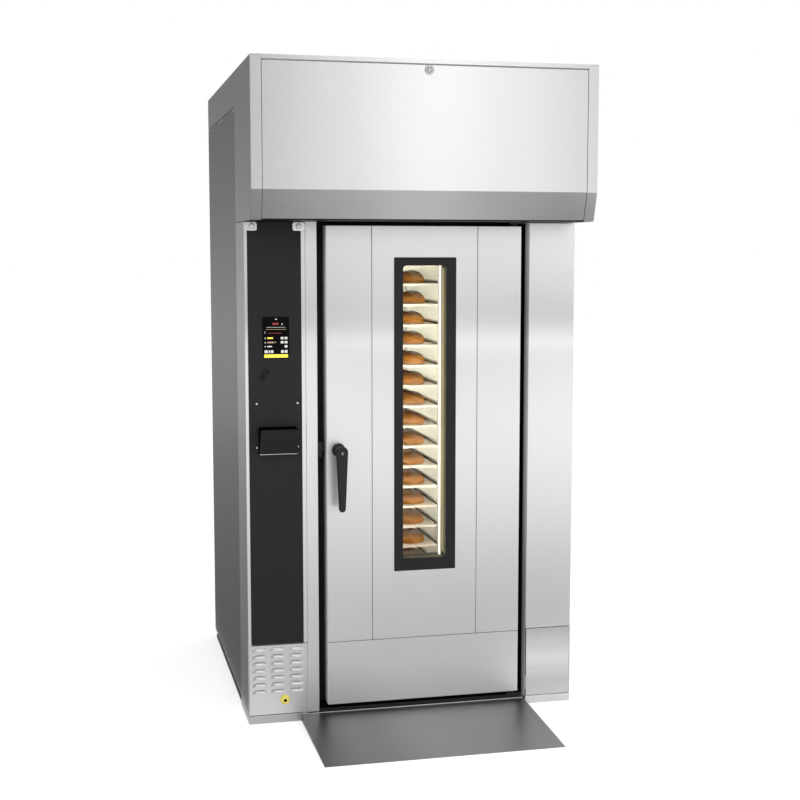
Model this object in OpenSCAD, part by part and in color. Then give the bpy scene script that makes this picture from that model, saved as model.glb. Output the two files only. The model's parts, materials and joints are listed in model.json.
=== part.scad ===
// Rotating rack oven: insulated cabinet with an overhanging steam hood, a full height
// door with a narrow window, and a wheeled tray rack that hangs from a lifting drive.

/* [Cabinet] */
// Width over the side panels
cab_w = 1340; // [1330:2:1400]
// Depth from the front columns to the rear panel
cab_d = 1330; // [1324:2:1400]
// Height from the floor to the roof
cab_h = 2575; // [2550:5:2700]
// Thickness of the steel sheet
sheet_t = 2; // [1.5:0.1:2.4]
// Height of the plinth
plinth_h = 34; // [30:1:40]
// Thickness of the chamber floor
floor_t = 11; // [8:1:14]
// Depth of the side face of each front column
column_d = 258; // [220:2:280]
// Height of the fixed band above the side panels
band_h = 136; // [110:2:150]
// Seam left between neighbouring sheets
seam = 2; // [1:0.5:3]

/* [Front] */
// Width of the column with the controls
column_w = 237; // [230:1:245]
// Width of the left jamb
jamb_l_w = 46; // [40:1:50]
// Width of the right jamb
jamb_r_w = 18; // [16:1:24]
// Gap between the left jamb and the door
gap_l = 36; // [30:1:40]
// Gap between the door and the right jamb
gap_r = 17; // [16:0.5:22]
// Depth of the recess that the door closes into
recess_d = 92; // [92:1:100]
// How far the ramp reaches in front of the columns
ramp_reach = 524; // [400:2:600]
// Width of the ramp plate
ramp_w = 925; // [800:5:1000]

/* [Door] */
// Width of the door
door_w = 793; // [780:1:806]
// Height of the door
door_h = 1907; // [1880:1:1930]
// Thickness of the door
door_t = 86; // [80:1:86]
// How far the door face stands in front of the columns
door_proud = 4; // [3:0.5:6]
// Clearance between the sill and the door
door_gap_b = 14; // [12:1:18]
// Clearance between the door and the hood
door_gap_t = 15; // [13:1:20]
// Width of the outer skins beside the middle one
skin_side_w = 180; // [150:1:200]
// Height of the kick skin
kick_h = 254; // [200:1:300]
// Width of the window frame
window_w = 253; // [230:1:270]
// Height of the window frame
window_h = 1253; // [1100:1:1300]
// Left edge of the window frame from the left edge of the door
window_dx = 270.5; // [255:0.5:285]
// Bottom of the window frame above the bottom of the door
window_dz = 531; // [480:1:560]
// Radius of the glass opening's corners
window_r = 14; // [6:1:18]
// Radius of the door's pivot pins
pivot_r = 9; // [7:0.5:10]
// Height of the lever's hub above the bottom of the door
handle_dz = 1029; // [900:1:1100]
// Length of the lever from hub to tip centre
lever_l = 222; // [180:2:240]

/* [Hood] */
// How far the hood stands in front of the columns
hood_d = 243; // [220:1:270]
// Height of the sloping lip
lip_h = 111; // [90:1:130]
// How far the lip slopes back
lip_d = 35; // [25:1:45]
// Width of the fixed strips beside the hatch
strip_w = 42; // [30:1:60]
// Height of the roof flange above the hatch
roof_lip = 16; // [12:1:24]
// Outer diameter of the exhaust collar
collar_dia = 160; // [140:5:200]
// Height of the exhaust collar above the roof
collar_h = 60; // [50:5:80]

/* [Controls] */
// Width of the black control panel
panel_w = 208; // [200:1:212]
// Height of the louvred cover
louvre_panel_h = 285; // [270:1:300]
// Screen width
screen_w = 103; // [90:1:120]
// Screen height
screen_h = 162; // [140:1:180]
// Screen centre above the floor
screen_z = 1534; // [1500:1:1560]
// Width of the document pocket
pocket_w = 149; // [120:1:160]
// Louvre columns
louvre_columns = 3; // [2:1:3]
// Louvre rows
louvre_rows = 7; // [4:1:7]
// Distance between louvre rows
louvre_pitch = 28.4; // [26:0.2:30]

/* [Chamber] */
// Width of the baking chamber
chamber_w = 860; // [850:2:866]
// Room between the rear insulation and the rear panels
rear_room = 25.5; // [10:0.5:60]
// Thickness of the insulation
wool_t = 100; // [80:1:104]
// Depth of the warm air duct
duct_w = 120; // [90:1:124]
// How far the rack's axis stands behind the chamber's centre
rack_back = 40; // [10:1:50]

/* [Rack] */
// Number of trays
tray_count = 18; // [12:1:18]
// Tray width
tray_w = 400; // [380:2:410]
// Tray depth
tray_d = 600; // [560:5:620]
// Distance between tray levels
tray_pitch = 86.6; // [80:0.2:86.6]
// Lowest tray above the chamber floor
tray_first = 215; // [210:1:240]
// Side of the rack's square tubes
tube_w = 25; // [20:1:28]
// Diameter of the caster wheels
wheel_d = 100; // [90:2:104]
// Diameter of a loaf
loaf_d = 140; // [100:2:150]
// Height of a loaf
loaf_h = 48; // [35:1:55]
// How far the drive lifts the rack
lift = 20; // [10:1:25]

/* [Hidden] */
$fn = 48;
rest_gap = 0.3;              // clearance between pieces that move past each other
run_gap = 0.05;              // radial clearance of a shaft in its bore

screw_h = 2;
front_y = -(cab_d + screw_h - ramp_reach) / 2;
half_w = cab_w / 2;
skin_in = half_w - sheet_t;  // inner face of the side skins
column_x = -half_w + column_w;
jamb_x = column_x + jamb_l_w;
door_x0 = jamb_x + gap_l;
door_x1 = door_x0 + door_w;
right_jamb_x = door_x1 + gap_r;
right_col_x = right_jamb_x + jamb_r_w;
floor_z = plinth_h + floor_t;
door_z0 = floor_z + door_gap_b;
door_z1 = door_z0 + door_h;
hood_z = door_z1 + door_gap_t;
ceiling_z = hood_z + 4;
door_y0 = -door_proud;
door_y1 = door_t - door_proud;
frame_t = 8;
chamber_y0 = recess_d + frame_t;
wall_gap = 0.5;
chamber_y1 = cab_d - 2 * sheet_t - rear_room - wool_t - wall_gap;
chamber_back = chamber_y1 + wall_gap + sheet_t;
rack_y = (chamber_y0 + chamber_y1) / 2 + rack_back;
flange_w = 20;               // width of the folded edges of columns and panels
chamber_hw = chamber_w / 2;
band_z = cab_h - band_h;
skirt_z = plinth_h + 3;
side_mid = (column_d + cab_d) / 2 - 9;
side_spans = [[column_d + seam, side_mid - seam / 2],
  [side_mid + seam / 2, cab_d - sheet_t]];
rear_seam_z = (cab_h - sheet_t + skirt_z) / 2 - 65;

// Door details
case_t = 2;
skin_y = door_y0 + sheet_t;
pivot_x = door_x1 - 25;
pivot_y = 20;
bush_r = pivot_r + 6;
bush_l = 36;
hinge_plate_t = 6;
open_x0 = door_x0 + 29;
open_x1 = door_x1 - 50;
open_z1 = door_z1 - 31;
gasket_w = 14;
win_x0 = door_x0 + window_dx;
win_x1 = win_x0 + window_w;
win_z0 = door_z0 + window_dz;
win_z1 = win_z0 + window_h;
glass_x0 = win_x0 + 36;
glass_x1 = win_x1 - 40;
glass_z0 = win_z0 + 50;
glass_z1 = win_z1 - 32;
tunnel_t = 5;
glass_t = 6;
lamp_r = 8;
lamp_cap_t = 1.5;
lamp_x = glass_x1 - 14;
lamp_y = 42;
stem_x = door_x0 + 46;
stem_z = door_z0 + handle_dz;
stem_r = 10;
lever_y = -86;
lever_t = 14;
finger_y = 42;
finger_l = 60;

// Hood details
hatch_x = half_w - strip_w - 1;
hatch_top = cab_h - roof_lip;
knuckle_r = 5;
hinge_y = -hood_d + lip_d + knuckle_r + 1;
hinge_z = hood_z + knuckle_r;
hinge_pin_r = 2;
knuckle_count = 9;
hinge_l = cab_w - 140;
knuckle_l = hinge_l / knuckle_count;
lock_z = hatch_top - 23;
lock_r = 8.5;

// Controls
panel_x0 = -half_w + 13;
panel_x1 = panel_x0 + panel_w;
panel_z0 = plinth_h + louvre_panel_h + 2;
panel_z1 = hood_z - 2;
panel_y = -3;
screen_x = panel_x0 + 107.5;
usb_x = screen_x - 36.5;
usb_z = screen_z - 130;
cap_x = usb_x - 15;
cap_z = usb_z - 24;
pocket_x = panel_x0 + 110.5;
pocket_z = screen_z - 452;
pocket_h = 102;
pocket_depth = 82;
pocket_base = 26;
louvre_x = column_x - column_w / 2 - 2;
louvre_step = 73.3;
louvre_r = 16;
louvre_sink = 8;
louvre_half = 14.6;
louvre_z = plinth_h + 90;
fitting_x = column_x - 93;
fitting_z = plinth_h + 59;
screw_r = 6;
side_screw_in = 50;

// Rack and drive
rack_hw = tray_w / 2 + 5 + tube_w;
rack_hd = tray_d / 2 + 10;
tray_t = 1.5;
rim_h = 10;
tray_z0 = floor_z + tray_first;
tray_top = tray_z0 + (tray_count - 1) * tray_pitch;
base_z = floor_z + wheel_d + 25;
rack_top_z = tray_top + 60;
head_z = rack_top_z + tube_w + 41;
head_t = 12;
shaft_r = 15;
hanger_z = head_z + head_t + 32;
wool_top = ceiling_z + sheet_t + wool_t;
drive_base_z = wool_top;
roof_room = cab_h - wool_top;
yoke_z = drive_base_z + roof_room * 0.225;
yoke_t = 12;
collar_z = yoke_z + yoke_t + roof_room * 0.185;
rod_y0 = 105;                 // lifting rod behind the gearbox
rod_r = 12;
rod_low = roof_room * 0.123;
guide_x = 110;
guide_r = 10;
drive_top = collar_z + roof_room * 0.2 + lift;
axle_r = 6;
axle_z = floor_z + rest_gap + wheel_d / 2;
wheel_w = 30;
caster_x = rack_hw - 48;
caster_y = rack_hd - 55;
swivel_trail = 30;
kingpin_r = 8;

// Fans
fan_x = 300;
fan_r = 150;
fan_z = ceiling_z + 25;
fan_h = 90;
scroll_h = 150;
scroll_top = ceiling_z + sheet_t + scroll_h;
scroll_x0 = fan_x - fan_r;
scroll_x1 = chamber_hw + sheet_t + duct_w + 46;
scroll_hd = 225;
inlet_r = 100;
fan_shaft_r = 12;
extract_x = -350;
extract_y = cab_d - 330;
extract_r = 110;
drum_r = 130;
drum_z = wool_top + roof_room / 2;
extract_z = drum_z + 30;
collar_r = collar_dia / 2;
duct_hw = 90;
duct_z = wool_top + roof_room * 0.63;
duct_h = roof_room * 0.245;

// A block between two limits on each axis
module slab(x, y, z) {
  translate([x[0], y[0], z[0]])
    cube([x[1] - x[0], y[1] - y[0], z[1] - z[0]]);
}

// Everything is placed from the front face of the columns
module at_front() translate([0, front_y, 0]) children();

module at_rack() at_front() translate([0, rack_y, 0]) children();

module mirrored_x() {
  children();
  mirror([1, 0, 0]) children();
}

// A rod along Y or X
module rod_y(r, l) rotate([-90, 0, 0]) cylinder(r = r, h = l);
module rod_x(r, l) rotate([0, 90, 0]) cylinder(r = r, h = l);

// A plate in the XZ plane with round corners, from y = 0 to y = t
module round_plate(x, z, r, t) {
  rotate([90, 0, 0]) translate([0, 0, -t]) linear_extrude(t) {
    translate([x[0] + r, z[0]]) square([x[1] - x[0] - 2 * r, z[1] - z[0]]);
    translate([x[0], z[0] + r]) square([x[1] - x[0], z[1] - z[0] - 2 * r]);
    for (cx = [x[0] + r, x[1] - r], cz = [z[0] + r, z[1] - r])
      translate([cx, cz]) circle(r);
  }
}

// The hood's front sheet: straight above, sloping back at the lip
function hood_line(z_low, z_high, inset) = let (slope = lip_d / lip_h)
  [[-hood_d + inset, z_high], [-hood_d + inset, hood_z + lip_h],
   [-hood_d + lip_d - (z_low - hood_z) * slope + inset, z_low]];

module hood_sheet(x, z_low, z_high) {
  outer = hood_line(z_low, z_high, 0);
  inner = hood_line(z_low, z_high, sheet_t);
  translate([x[0], 0, 0]) rotate([90, 0, 90]) linear_extrude(x[1] - x[0])
    polygon([outer[0], outer[1], outer[2], inner[2], inner[1], inner[0]]);
}

module base_frame() color("dimgray") at_front() {
  mirrored_x() {
    slab([half_w - 64, half_w - 4], [column_d + 2, cab_d - 14], [0, 12]);
    slab([half_w - 64, half_w - 16], [column_d + 2, cab_d - 14], [12, plinth_h]);
    slab([half_w - 64, skin_in - flange_w - 2], [22, column_d + 2], [0, plinth_h]);
  }
  for (y = [22, -front_y - 30, rack_y + 84, cab_d - 74])
    slab([-half_w + 64, half_w - 64], [y, y + 60], [0, plinth_h]);
}

module ramp() color("gray") at_front() {
  top_z = plinth_h - 4;
  ramp_x = (right_jamb_x + jamb_x) / 2 - 33;
  translate([ramp_x - ramp_w / 2, 0, 0]) {
    rotate([90, 0, 90]) linear_extrude(ramp_w)
      polygon([[-ramp_reach, 0], [-ramp_reach + 22, 0], [-26, top_z - 4.5],
               [-24, 0], [0, 0], [0, top_z], [-6, top_z], [-ramp_reach, 2]]);
    for (x = [0, ramp_w / 3, 2 * ramp_w / 3 - 4, ramp_w - 4])
      translate([x, 0, 0]) rotate([90, 0, 90]) linear_extrude(4)
        polygon([[-ramp_reach + 10, 0], [0, 0], [0, top_z - 1],
                 [-ramp_reach + 10, 1.5]]);
  }
}

module chamber_floor() color("silver") at_front() {
  slab([-chamber_hw - sheet_t, chamber_hw + sheet_t],
       [recess_d, chamber_back], [plinth_h, floor_z]);
  slab([jamb_x, right_jamb_x], [0, recess_d], [plinth_h, floor_z]);
}

module front_frame() color("silver") at_front() difference() {
  slab([column_x, right_col_x], [recess_d, recess_d + frame_t], [floor_z, hood_z]);
  slab([open_x0, open_x1], [recess_d - 1, recess_d + frame_t + 1],
       [floor_z - 1, open_z1]);
}

// Folded channels beside the door, open to the rear
module door_jambs() color("lightgray") at_front()
  for (x = [[column_x, jamb_x], [right_jamb_x, right_col_x]]) difference() {
    slab(x, [0, recess_d], [plinth_h, hood_z]);
    slab([x[0] + sheet_t, x[1] - sheet_t], [sheet_t, recess_d + 1],
         [plinth_h - 1, hood_z + 1]);
  }

module lintel() color("silver") at_front() difference() {
  slab([column_x, right_col_x], [0, recess_d + frame_t], [hood_z, wool_top]);
  slab([column_x - 1, right_col_x + 1], [sheet_t, recess_d + frame_t - sheet_t],
       [hood_z + sheet_t, wool_top - sheet_t]);
}

// Side face, front flanges beside the control panel, tabs over its top corners
module left_column() color("lightgray") at_front() {
  slab([-half_w, -skin_in], [0, column_d], [0, panel_z1]);
  slab([-skin_in, column_x], [0, 20], [0, plinth_h]);
  difference() {
    slab([-skin_in, column_x], [0, sheet_t], [panel_z0 - 2, panel_z1]);
    slab([panel_x0 + 8, panel_x1 - 8], [-1, sheet_t + 1], [panel_z0 + 8, panel_z1 - 8]);
  }
  slab([column_x - sheet_t, column_x], [0, recess_d], [plinth_h, panel_z1]);
  slab([-skin_in, flange_w - skin_in], [column_d - sheet_t, column_d], [0, panel_z1]);
  for (x = [[-half_w, panel_x0 + 38], [panel_x1 - 32, column_x]])
    translate([0, panel_y - 2, 0]) intersection() {
      round_plate([x[0], x[1]], [panel_z1 - 35, panel_z1 + 20], 9, 2);
      slab([x[0], x[1]], [0, 2], [panel_z1 - 40, panel_z1]);
    }
  slab([-half_w, panel_x0], [panel_y - 1, 0], [panel_z1 - 35, panel_z1]);
  slab([panel_x1, column_x], [panel_y - 1, 0], [panel_z1 - 35, panel_z1]);
}

module control_panel() color([0.12, 0.12, 0.13]) at_front() difference() {
  slab([panel_x0, panel_x1], [panel_y, 0], [panel_z0, panel_z1]);
  slab([screen_x - 42, screen_x + 42], [panel_y - 1, 1], [screen_z - 70, screen_z + 70]);
  translate([usb_x, panel_y - 1, usb_z]) rod_y(9 + rest_gap, 5);
}

module touchscreen() color([0.05, 0.05, 0.06]) at_front() {
  translate([0, panel_y - 4, 0])
    round_plate([screen_x - screen_w / 2, screen_x + screen_w / 2],
                [screen_z - screen_h / 2, screen_z + screen_h / 2], 4, 4);
  slab([screen_x - 42, screen_x + 42], [panel_y, 34], [screen_z - 70, screen_z + 70]);
}

// Round flange, its hollow port, and a lug that carries the cap's tether
module usb_port() color([0.08, 0.08, 0.08]) at_front() {
  translate([usb_x, 0, usb_z]) difference() {
    union() {
      translate([0, panel_y - 4, 0]) rod_y(13, 4);
      translate([0, panel_y, 0]) rod_y(9, 26);
    }
    slab([-6, 6], [panel_y - 5, 12], [-2.5, 2.5]);
  }
  translate([cap_x, panel_y - 12, usb_z - 4]) rod_y(1.5, 12);
  slab([cap_x - 2, usb_x - 8], [panel_y - 4, panel_y], [usb_z - 6.5, usb_z - 1.5]);
}

// Hanging rubber cap on its tether
module usb_cap() color([0.1, 0.1, 0.1]) at_front() translate([cap_x, panel_y, 0]) {
  difference() {
    union() {
      translate([0, -8, usb_z - 4]) rod_y(4, 2.5);
      slab([-1.5, 1.5], [-8, -5.5], [cap_z, usb_z - 6]);
      translate([0, -11, cap_z]) rod_y(9.5, 8);
    }
    translate([0, -9, usb_z - 4]) rod_y(1.5 + run_gap, 5);
  }
}

// Sheet pocket: flat base, leaning front, triangular cheeks, flat back plate
module document_pocket() color([0.14, 0.14, 0.15]) at_front()
  translate([pocket_x, panel_y, pocket_z]) {
    pocket_side = [[0, 0], [-pocket_base, 0], [-pocket_depth, pocket_h], [0, pocket_h]];
    for (x = [-pocket_w / 2, pocket_w / 2 - sheet_t])
      translate([x, 0, 0]) rotate([90, 0, 90]) linear_extrude(sheet_t)
        polygon(pocket_side);
    translate([-pocket_w / 2, 0, 0]) rotate([90, 0, 90]) linear_extrude(pocket_w)
      polygon([[0, 0], [-pocket_base, 0], [-pocket_depth, pocket_h],
               [-pocket_depth + 2.6, pocket_h], [-pocket_base + 1.6, sheet_t],
               [0, sheet_t]]);
    slab([-pocket_w / 2 - 20, pocket_w / 2 + 16], [-sheet_t, 0], [8, 212]);
  }

// One pressed louvre: a shallow barrel with rounded ends, open downwards
module louvre_body(r) {
  translate([-louvre_half, louvre_sink, 0]) rod_x(r, 2 * louvre_half);
  for (x = [-louvre_half, louvre_half]) translate([x, louvre_sink, 0]) sphere(r);
}

module louvre_panel() color("silver") at_front() {
  columns = [for (i = [0:louvre_columns - 1]) i - (louvre_columns - 1) / 2];
  difference() {
    union() {
      slab([-skin_in, column_x - sheet_t], [0, sheet_t], [plinth_h + 1, panel_z0 - 4]);
      for (c = columns, k = [0:louvre_rows - 1])
        translate([louvre_x + c * louvre_step, 0, louvre_z + k * louvre_pitch])
          intersection() {
            louvre_body(louvre_r);
            slab([-40, 40], [-20, sheet_t], [0, 20]);
          }
    }
    for (c = columns, k = [0:louvre_rows - 1])
      translate([louvre_x + c * louvre_step, 0, louvre_z + k * louvre_pitch])
        intersection() {
          louvre_body(louvre_r - 1.6);
          slab([-40, 40], [-20, sheet_t + 1], [-1, 20]);
        }
    translate([fitting_x, -1, fitting_z]) rod_y(8 + rest_gap, 5);
  }
}

module hose_fitting() color("gold") at_front() translate([fitting_x, 0, fitting_z])
  difference() {
    rotate([90, 0, 0]) rotate_extrude()
      polygon([[0, -40], [8, -40], [8, 0], [19, 0], [19, 5], [15, 9], [15, 15],
               [12, 18], [0, 18]]);
    translate([0, -19, 0]) rod_y(5, 60);
  }

// Mounting plate behind the control panel with rails and switchgear
module electrical_plate() color("gainsboro") at_front() {
  plate_y = recess_d + 1;
  rail_t = 8;
  block_d = 62;
  block_step = (column_w - 49) / 4;
  plate_z = [panel_z0 + 59, pocket_z - 22];
  rail_step = (plate_z[1] - plate_z[0]) / 3;
  slab([-skin_in, column_x - 4], [plate_y, plate_y + 3], plate_z);
  for (k = [0:2]) translate([-skin_in, plate_y - rail_t, plate_z[0] + (k + 0.5) * rail_step]) {
    slab([16, column_w - 30], [0, rail_t], [-17, 17]);
    for (i = [0:3])
      translate([22 + i * block_step, -block_d, -40]) cube([block_step - 4, block_d, 80]);
  }
}

// Folded right column and, under a seam, its lower cover
module right_column() color("lightgray") at_front() {
  slab([skin_in, half_w], [0, column_d], [0, panel_z1]);
  slab([right_col_x, skin_in], [0, sheet_t], [panel_z0 - 2, panel_z1]);
  slab([right_col_x, right_col_x + sheet_t], [0, recess_d], [plinth_h, panel_z1]);
  slab([right_col_x, skin_in], [0, 20], [0, plinth_h]);
  slab([skin_in - flange_w, skin_in], [column_d - sheet_t, column_d], [0, panel_z1]);
  slab([right_col_x + sheet_t + 0.5, skin_in - 0.5], [0, sheet_t],
       [plinth_h + 1, panel_z0 - 4]);
}

// Removable side panels, two on each side, with folded edges
module side_panels() color("gray") at_front() {
  mirrored_x() for (y = side_spans) {
    slab([skin_in, half_w], y, [skirt_z, band_z - seam]);
    for (edge = [y[0], y[1] - sheet_t])
      slab([skin_in - flange_w, skin_in], [edge, edge + sheet_t], [skirt_z, band_z - seam]);
    slab([skin_in - sheet_t, skin_in], [y[0] + 20, y[1] - 20], [plinth_h, skirt_z + 10]);
    slab([skin_in - 28, skin_in], [y[0] + 20, y[1] - 20], [plinth_h, plinth_h + sheet_t]);
  }
}

module rear_panels() color("gray") at_front()
  for (z = [[skirt_z, rear_seam_z], [rear_seam_z + seam, cab_h - sheet_t]])
    slab([-skin_in, skin_in], [cab_d - sheet_t, cab_d], z);

module roof_panel() color("silver") at_front() difference() {
  union() {
    slab([-skin_in, skin_in], [-hood_d, cab_d], [cab_h - sheet_t, cab_h]);
    slab([-hatch_x - 1, hatch_x + 1], [-hood_d, -hood_d + sheet_t], [hatch_top, cab_h]);
  }
  translate([extract_x, extract_y, cab_h - 10])
    cylinder(r = collar_r + rest_gap, h = 20);
}

module hood_cheeks() color("silver") at_front() mirrored_x() {
  front_low = -hood_d + lip_d;
  translate([skin_in, 0, 0]) rotate([90, 0, 90]) linear_extrude(sheet_t)
    polygon([[-hood_d, cab_h], [-hood_d, hood_z + lip_h], [front_low, hood_z],
             [column_d, hood_z], [column_d, band_z], [cab_d, band_z], [cab_d, cab_h]]);
  hood_sheet([half_w - strip_w, skin_in], hood_z, cab_h - sheet_t);
}

// Bottom of the hood with the steam intake slots and the hatch's fixed knuckles
module hood_pan() color("silver") at_front() {
  difference() {
    slab([-skin_in, skin_in], [hinge_y + knuckle_r + 1, 0], [hood_z, hood_z + sheet_t]);
    for (i = [0:6])
      slab([-chamber_hw + 10, chamber_hw - 10], [-165 + i * 20, -155 + i * 20],
           [hood_z - 1, hood_z + 5]);
    mirrored_x() slab([half_w - strip_w - 30, half_w], [hinge_y - 1, hinge_y + 12],
                      [hood_z - 1, hood_z + 5]);
  }
  for (k = [0:knuckle_count - 1]) if (k % 2 == 1)
    translate([-hinge_l / 2 + k * knuckle_l + 0.5, hinge_y, hinge_z]) {
      rod_x(knuckle_r, knuckle_l - 1);
      slab([0, knuckle_l - 1], [0, knuckle_r + 2], [-knuckle_r, sheet_t - knuckle_r]);
    }
  translate([-hinge_l / 2 + 2, hinge_y, hinge_z]) rod_x(hinge_pin_r, hinge_l - 4);
}

// Front hatch of the hood: bent sheet with returns, knuckles, ring of the lock
module hood_hatch() color("silver") at_front() difference() {
  union() {
    hood_sheet([-hatch_x, hatch_x], hinge_z, hatch_top - 1);
    slab([-hatch_x, hatch_x], [-hood_d + sheet_t, -hood_d + 20],
         [hatch_top - 1 - sheet_t, hatch_top - 1]);
    mirrored_x() slab([hatch_x - sheet_t, hatch_x], [-hood_d + sheet_t, -hood_d + 20],
                      [hood_z + lip_h + 4, hatch_top - 1]);
    for (k = [0:knuckle_count - 1]) if (k % 2 == 0)
      translate([-hinge_l / 2 + k * knuckle_l + 0.5, hinge_y, hinge_z]) {
        rod_x(knuckle_r, knuckle_l - 1);
        slab([0, knuckle_l - 1], [-6.5, -2.5], [0, knuckle_r - 0.5]);
      }
    translate([0, -hood_d - 3, lock_z]) rod_y(18.5, 12);
  }
  translate([-half_w, hinge_y, hinge_z]) rod_x(hinge_pin_r + run_gap, cab_w);
  translate([0, -hood_d - 5, lock_z]) rod_y(lock_r + run_gap, 20);
}

module hatch_lock() color("gray") at_front() translate([0, 0, lock_z]) difference() {
  union() {
    translate([0, -hood_d - 4, 0]) rod_y(lock_r, 20);
    slab([-7, 7], [-hood_d + 9 + rest_gap, -hood_d + 12], [-7, 18]);
  }
  slab([-1, 1], [-hood_d - 5, -hood_d - 2], [-6, 6]);
}

// Domed screw heads on the side panels, rear panels, column tabs and pocket
module screw_head(r) rotate_extrude()
  polygon([[0, 0], [r, 0], [r * 0.92, screw_h * 0.6], [r * 0.5, screw_h], [0, screw_h]]);

module cover_screws() color("silver") at_front() {
  mirrored_x() for (y = side_spans, side = [0, 1], z = [skirt_z + 16, band_z - 14])
    translate([half_w, y[side] + (1 - 2 * side) * side_screw_in, z])
      rotate([0, 90, 0]) screw_head(screw_r);
  for (x = [-half_w + 50, 0, half_w - 50],
       z = [skirt_z + 20, rear_seam_z - 25, rear_seam_z + 28, cab_h - 40])
    translate([x, cab_d, z]) rotate([-90, 0, 0]) screw_head(screw_r);
  for (x = [panel_x0 + 18, panel_x1 - 9])
    translate([x, panel_y - 2, panel_z1 - 16]) rotate([90, 0, 0]) screw_head(7);
  for (x = [-80, 79.5], z = [25, 196])
    translate([pocket_x + x, panel_y - sheet_t, pocket_z + z])
      rotate([90, 0, 0]) screw_head(4.5);
}

// Left, rear and right wall; the right one has three rows of warm air slots
module chamber_walls() color("ivory") at_front() {
  slot_step = (ceiling_z - floor_z - 330) / 14;
  slab([-chamber_hw - sheet_t, -chamber_hw], [chamber_y0, chamber_y1],
       [floor_z, ceiling_z]);
  slab([-chamber_hw, chamber_hw], [chamber_y1 + wall_gap, chamber_back],
       [floor_z, ceiling_z]);
  difference() {
    slab([chamber_hw, chamber_hw + sheet_t], [chamber_y0, chamber_y1],
         [floor_z, ceiling_z]);
    for (y = [-160, 0, 160], k = [0:13])
      translate([chamber_hw, rack_y + y, floor_z + 205 + k * slot_step])
        slab([-1, sheet_t + 1], [-50, 50], [0, 12]);
  }
}

module chamber_ceiling() color("ivory") at_front() difference() {
  slab([-chamber_hw - sheet_t, chamber_hw + sheet_t], [chamber_y0, chamber_y1 + wall_gap],
       [ceiling_z, ceiling_z + sheet_t]);
  translate([0, rack_y, ceiling_z - 5]) cylinder(r = shaft_r + 10, h = 20);
  translate([fan_x, rack_y, ceiling_z - 5]) cylinder(r = inlet_r, h = 20);
}

module air_duct() color("silver") at_front() difference() {
  x0 = chamber_hw + sheet_t;
  side_y = tray_d / 2;
  slab([x0, x0 + duct_w], [rack_y - side_y, rack_y + side_y],
       [floor_z + 60, ceiling_z + sheet_t]);
  slab([x0 - 1, x0 + duct_w - sheet_t],
       [rack_y - side_y + sheet_t, rack_y + side_y - sheet_t],
       [floor_z + 60 + sheet_t, ceiling_z + 5]);
}

// Mineral wool boards round the chamber
module insulation() color("khaki") at_front() {
  duct_x = chamber_hw + sheet_t + duct_w;
  slab([-chamber_hw - sheet_t - wool_t, -chamber_hw - sheet_t],
       [chamber_y0, chamber_y1], [floor_z, ceiling_z]);
  slab([-chamber_hw, chamber_hw], [chamber_back, chamber_back + wool_t], [floor_z, ceiling_z]);
  slab([duct_x, min(duct_x + wool_t, skin_in - 20)], [rack_y - 400, rack_y + 400],
       [floor_z, ceiling_z]);
  difference() {
    slab([-chamber_hw - sheet_t, scroll_x0 - 2], [chamber_y0, chamber_y1],
         [ceiling_z + sheet_t, wool_top]);
    translate([0, rack_y, ceiling_z]) cylinder(r = shaft_r + 10, h = wool_t + 20);
  }
}

module fan_housing() color("silver") at_front() difference() {
  z0 = ceiling_z + sheet_t;
  slab([scroll_x0, scroll_x1], [rack_y - scroll_hd, rack_y + scroll_hd],
       [z0, scroll_top]);
  slab([scroll_x0 + 2, scroll_x1 - 2], [rack_y - scroll_hd + 2, rack_y + scroll_hd - 2],
       [z0 + 2, scroll_top - 2]);
  translate([fan_x, rack_y, z0 - 1]) cylinder(r = inlet_r, h = 10);
  translate([fan_x, rack_y, scroll_top - 5]) cylinder(r = 40, h = 10);
  slab([chamber_hw + sheet_t + 2, chamber_hw + sheet_t + duct_w - 4],
       [rack_y - 200, rack_y + 200], [z0 - 1, z0 + 5]);
}

// A motor standing on its flange: finned barrel, end bell and terminal box
module motor(r, l, bore, bore_l) {
  difference() {
    union() {
      cylinder(r = r + 18, h = 8);
      cylinder(r = r, h = l);
      translate([0, 0, l]) cylinder(r1 = r, r2 = r * 0.7, h = 18);
      for (k = [0:5]) translate([0, 0, 30 + k * (l - 60) / 5])
        cylinder(r = r + 6, h = 5);
      translate([r - 15, -30, l * 0.35]) cube([45, 60, l * 0.4]);
    }
    translate([0, 0, -1]) cylinder(r = bore, h = bore_l + 1);
  }
}

module fan_motors() color("slategray") at_front() {
  translate([fan_x, rack_y, scroll_top])
    motor(70, (cab_h - scroll_top) * 0.43, fan_shaft_r + run_gap, 60);
  translate([extract_x, extract_y, drum_z]) mirror([0, 0, 1])
    motor(50, (drum_z - wool_top) / 2, fan_shaft_r + run_gap, 40);
}

// A centrifugal wheel: back plate, hub, curved blades and inlet ring
module impeller(r, h, blades, r_eye, bore_h) {
  cylinder(r = fan_shaft_r, h = bore_h);
  translate([0, 0, h - 3]) cylinder(r = r, h = 3);
  translate([0, 0, h - 40]) cylinder(r = fan_shaft_r + 14, h = 40);
  difference() {
    cylinder(r = r, h = 3);
    translate([0, 0, -1]) cylinder(r = r_eye, h = 5);
  }
  chord = (r - r_eye + 12);
  for (k = [0:blades - 1]) rotate(k * 360 / blades)
    translate([r_eye - 8 + chord / 2, -chord * 0.7, 0]) rotate(60)
      rotate_extrude(angle = 64) translate([chord * 0.85, 0]) square([2.5, h]);
}

module fan_wheel() color("lightsteelblue") at_front()
  translate([fan_x, rack_y, fan_z]) intersection() {
    impeller(fan_r - 8, fan_h, 12, inlet_r - 12, scroll_h + 20);
    cylinder(r = fan_r - 8, h = scroll_h + 20);
  }

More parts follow.
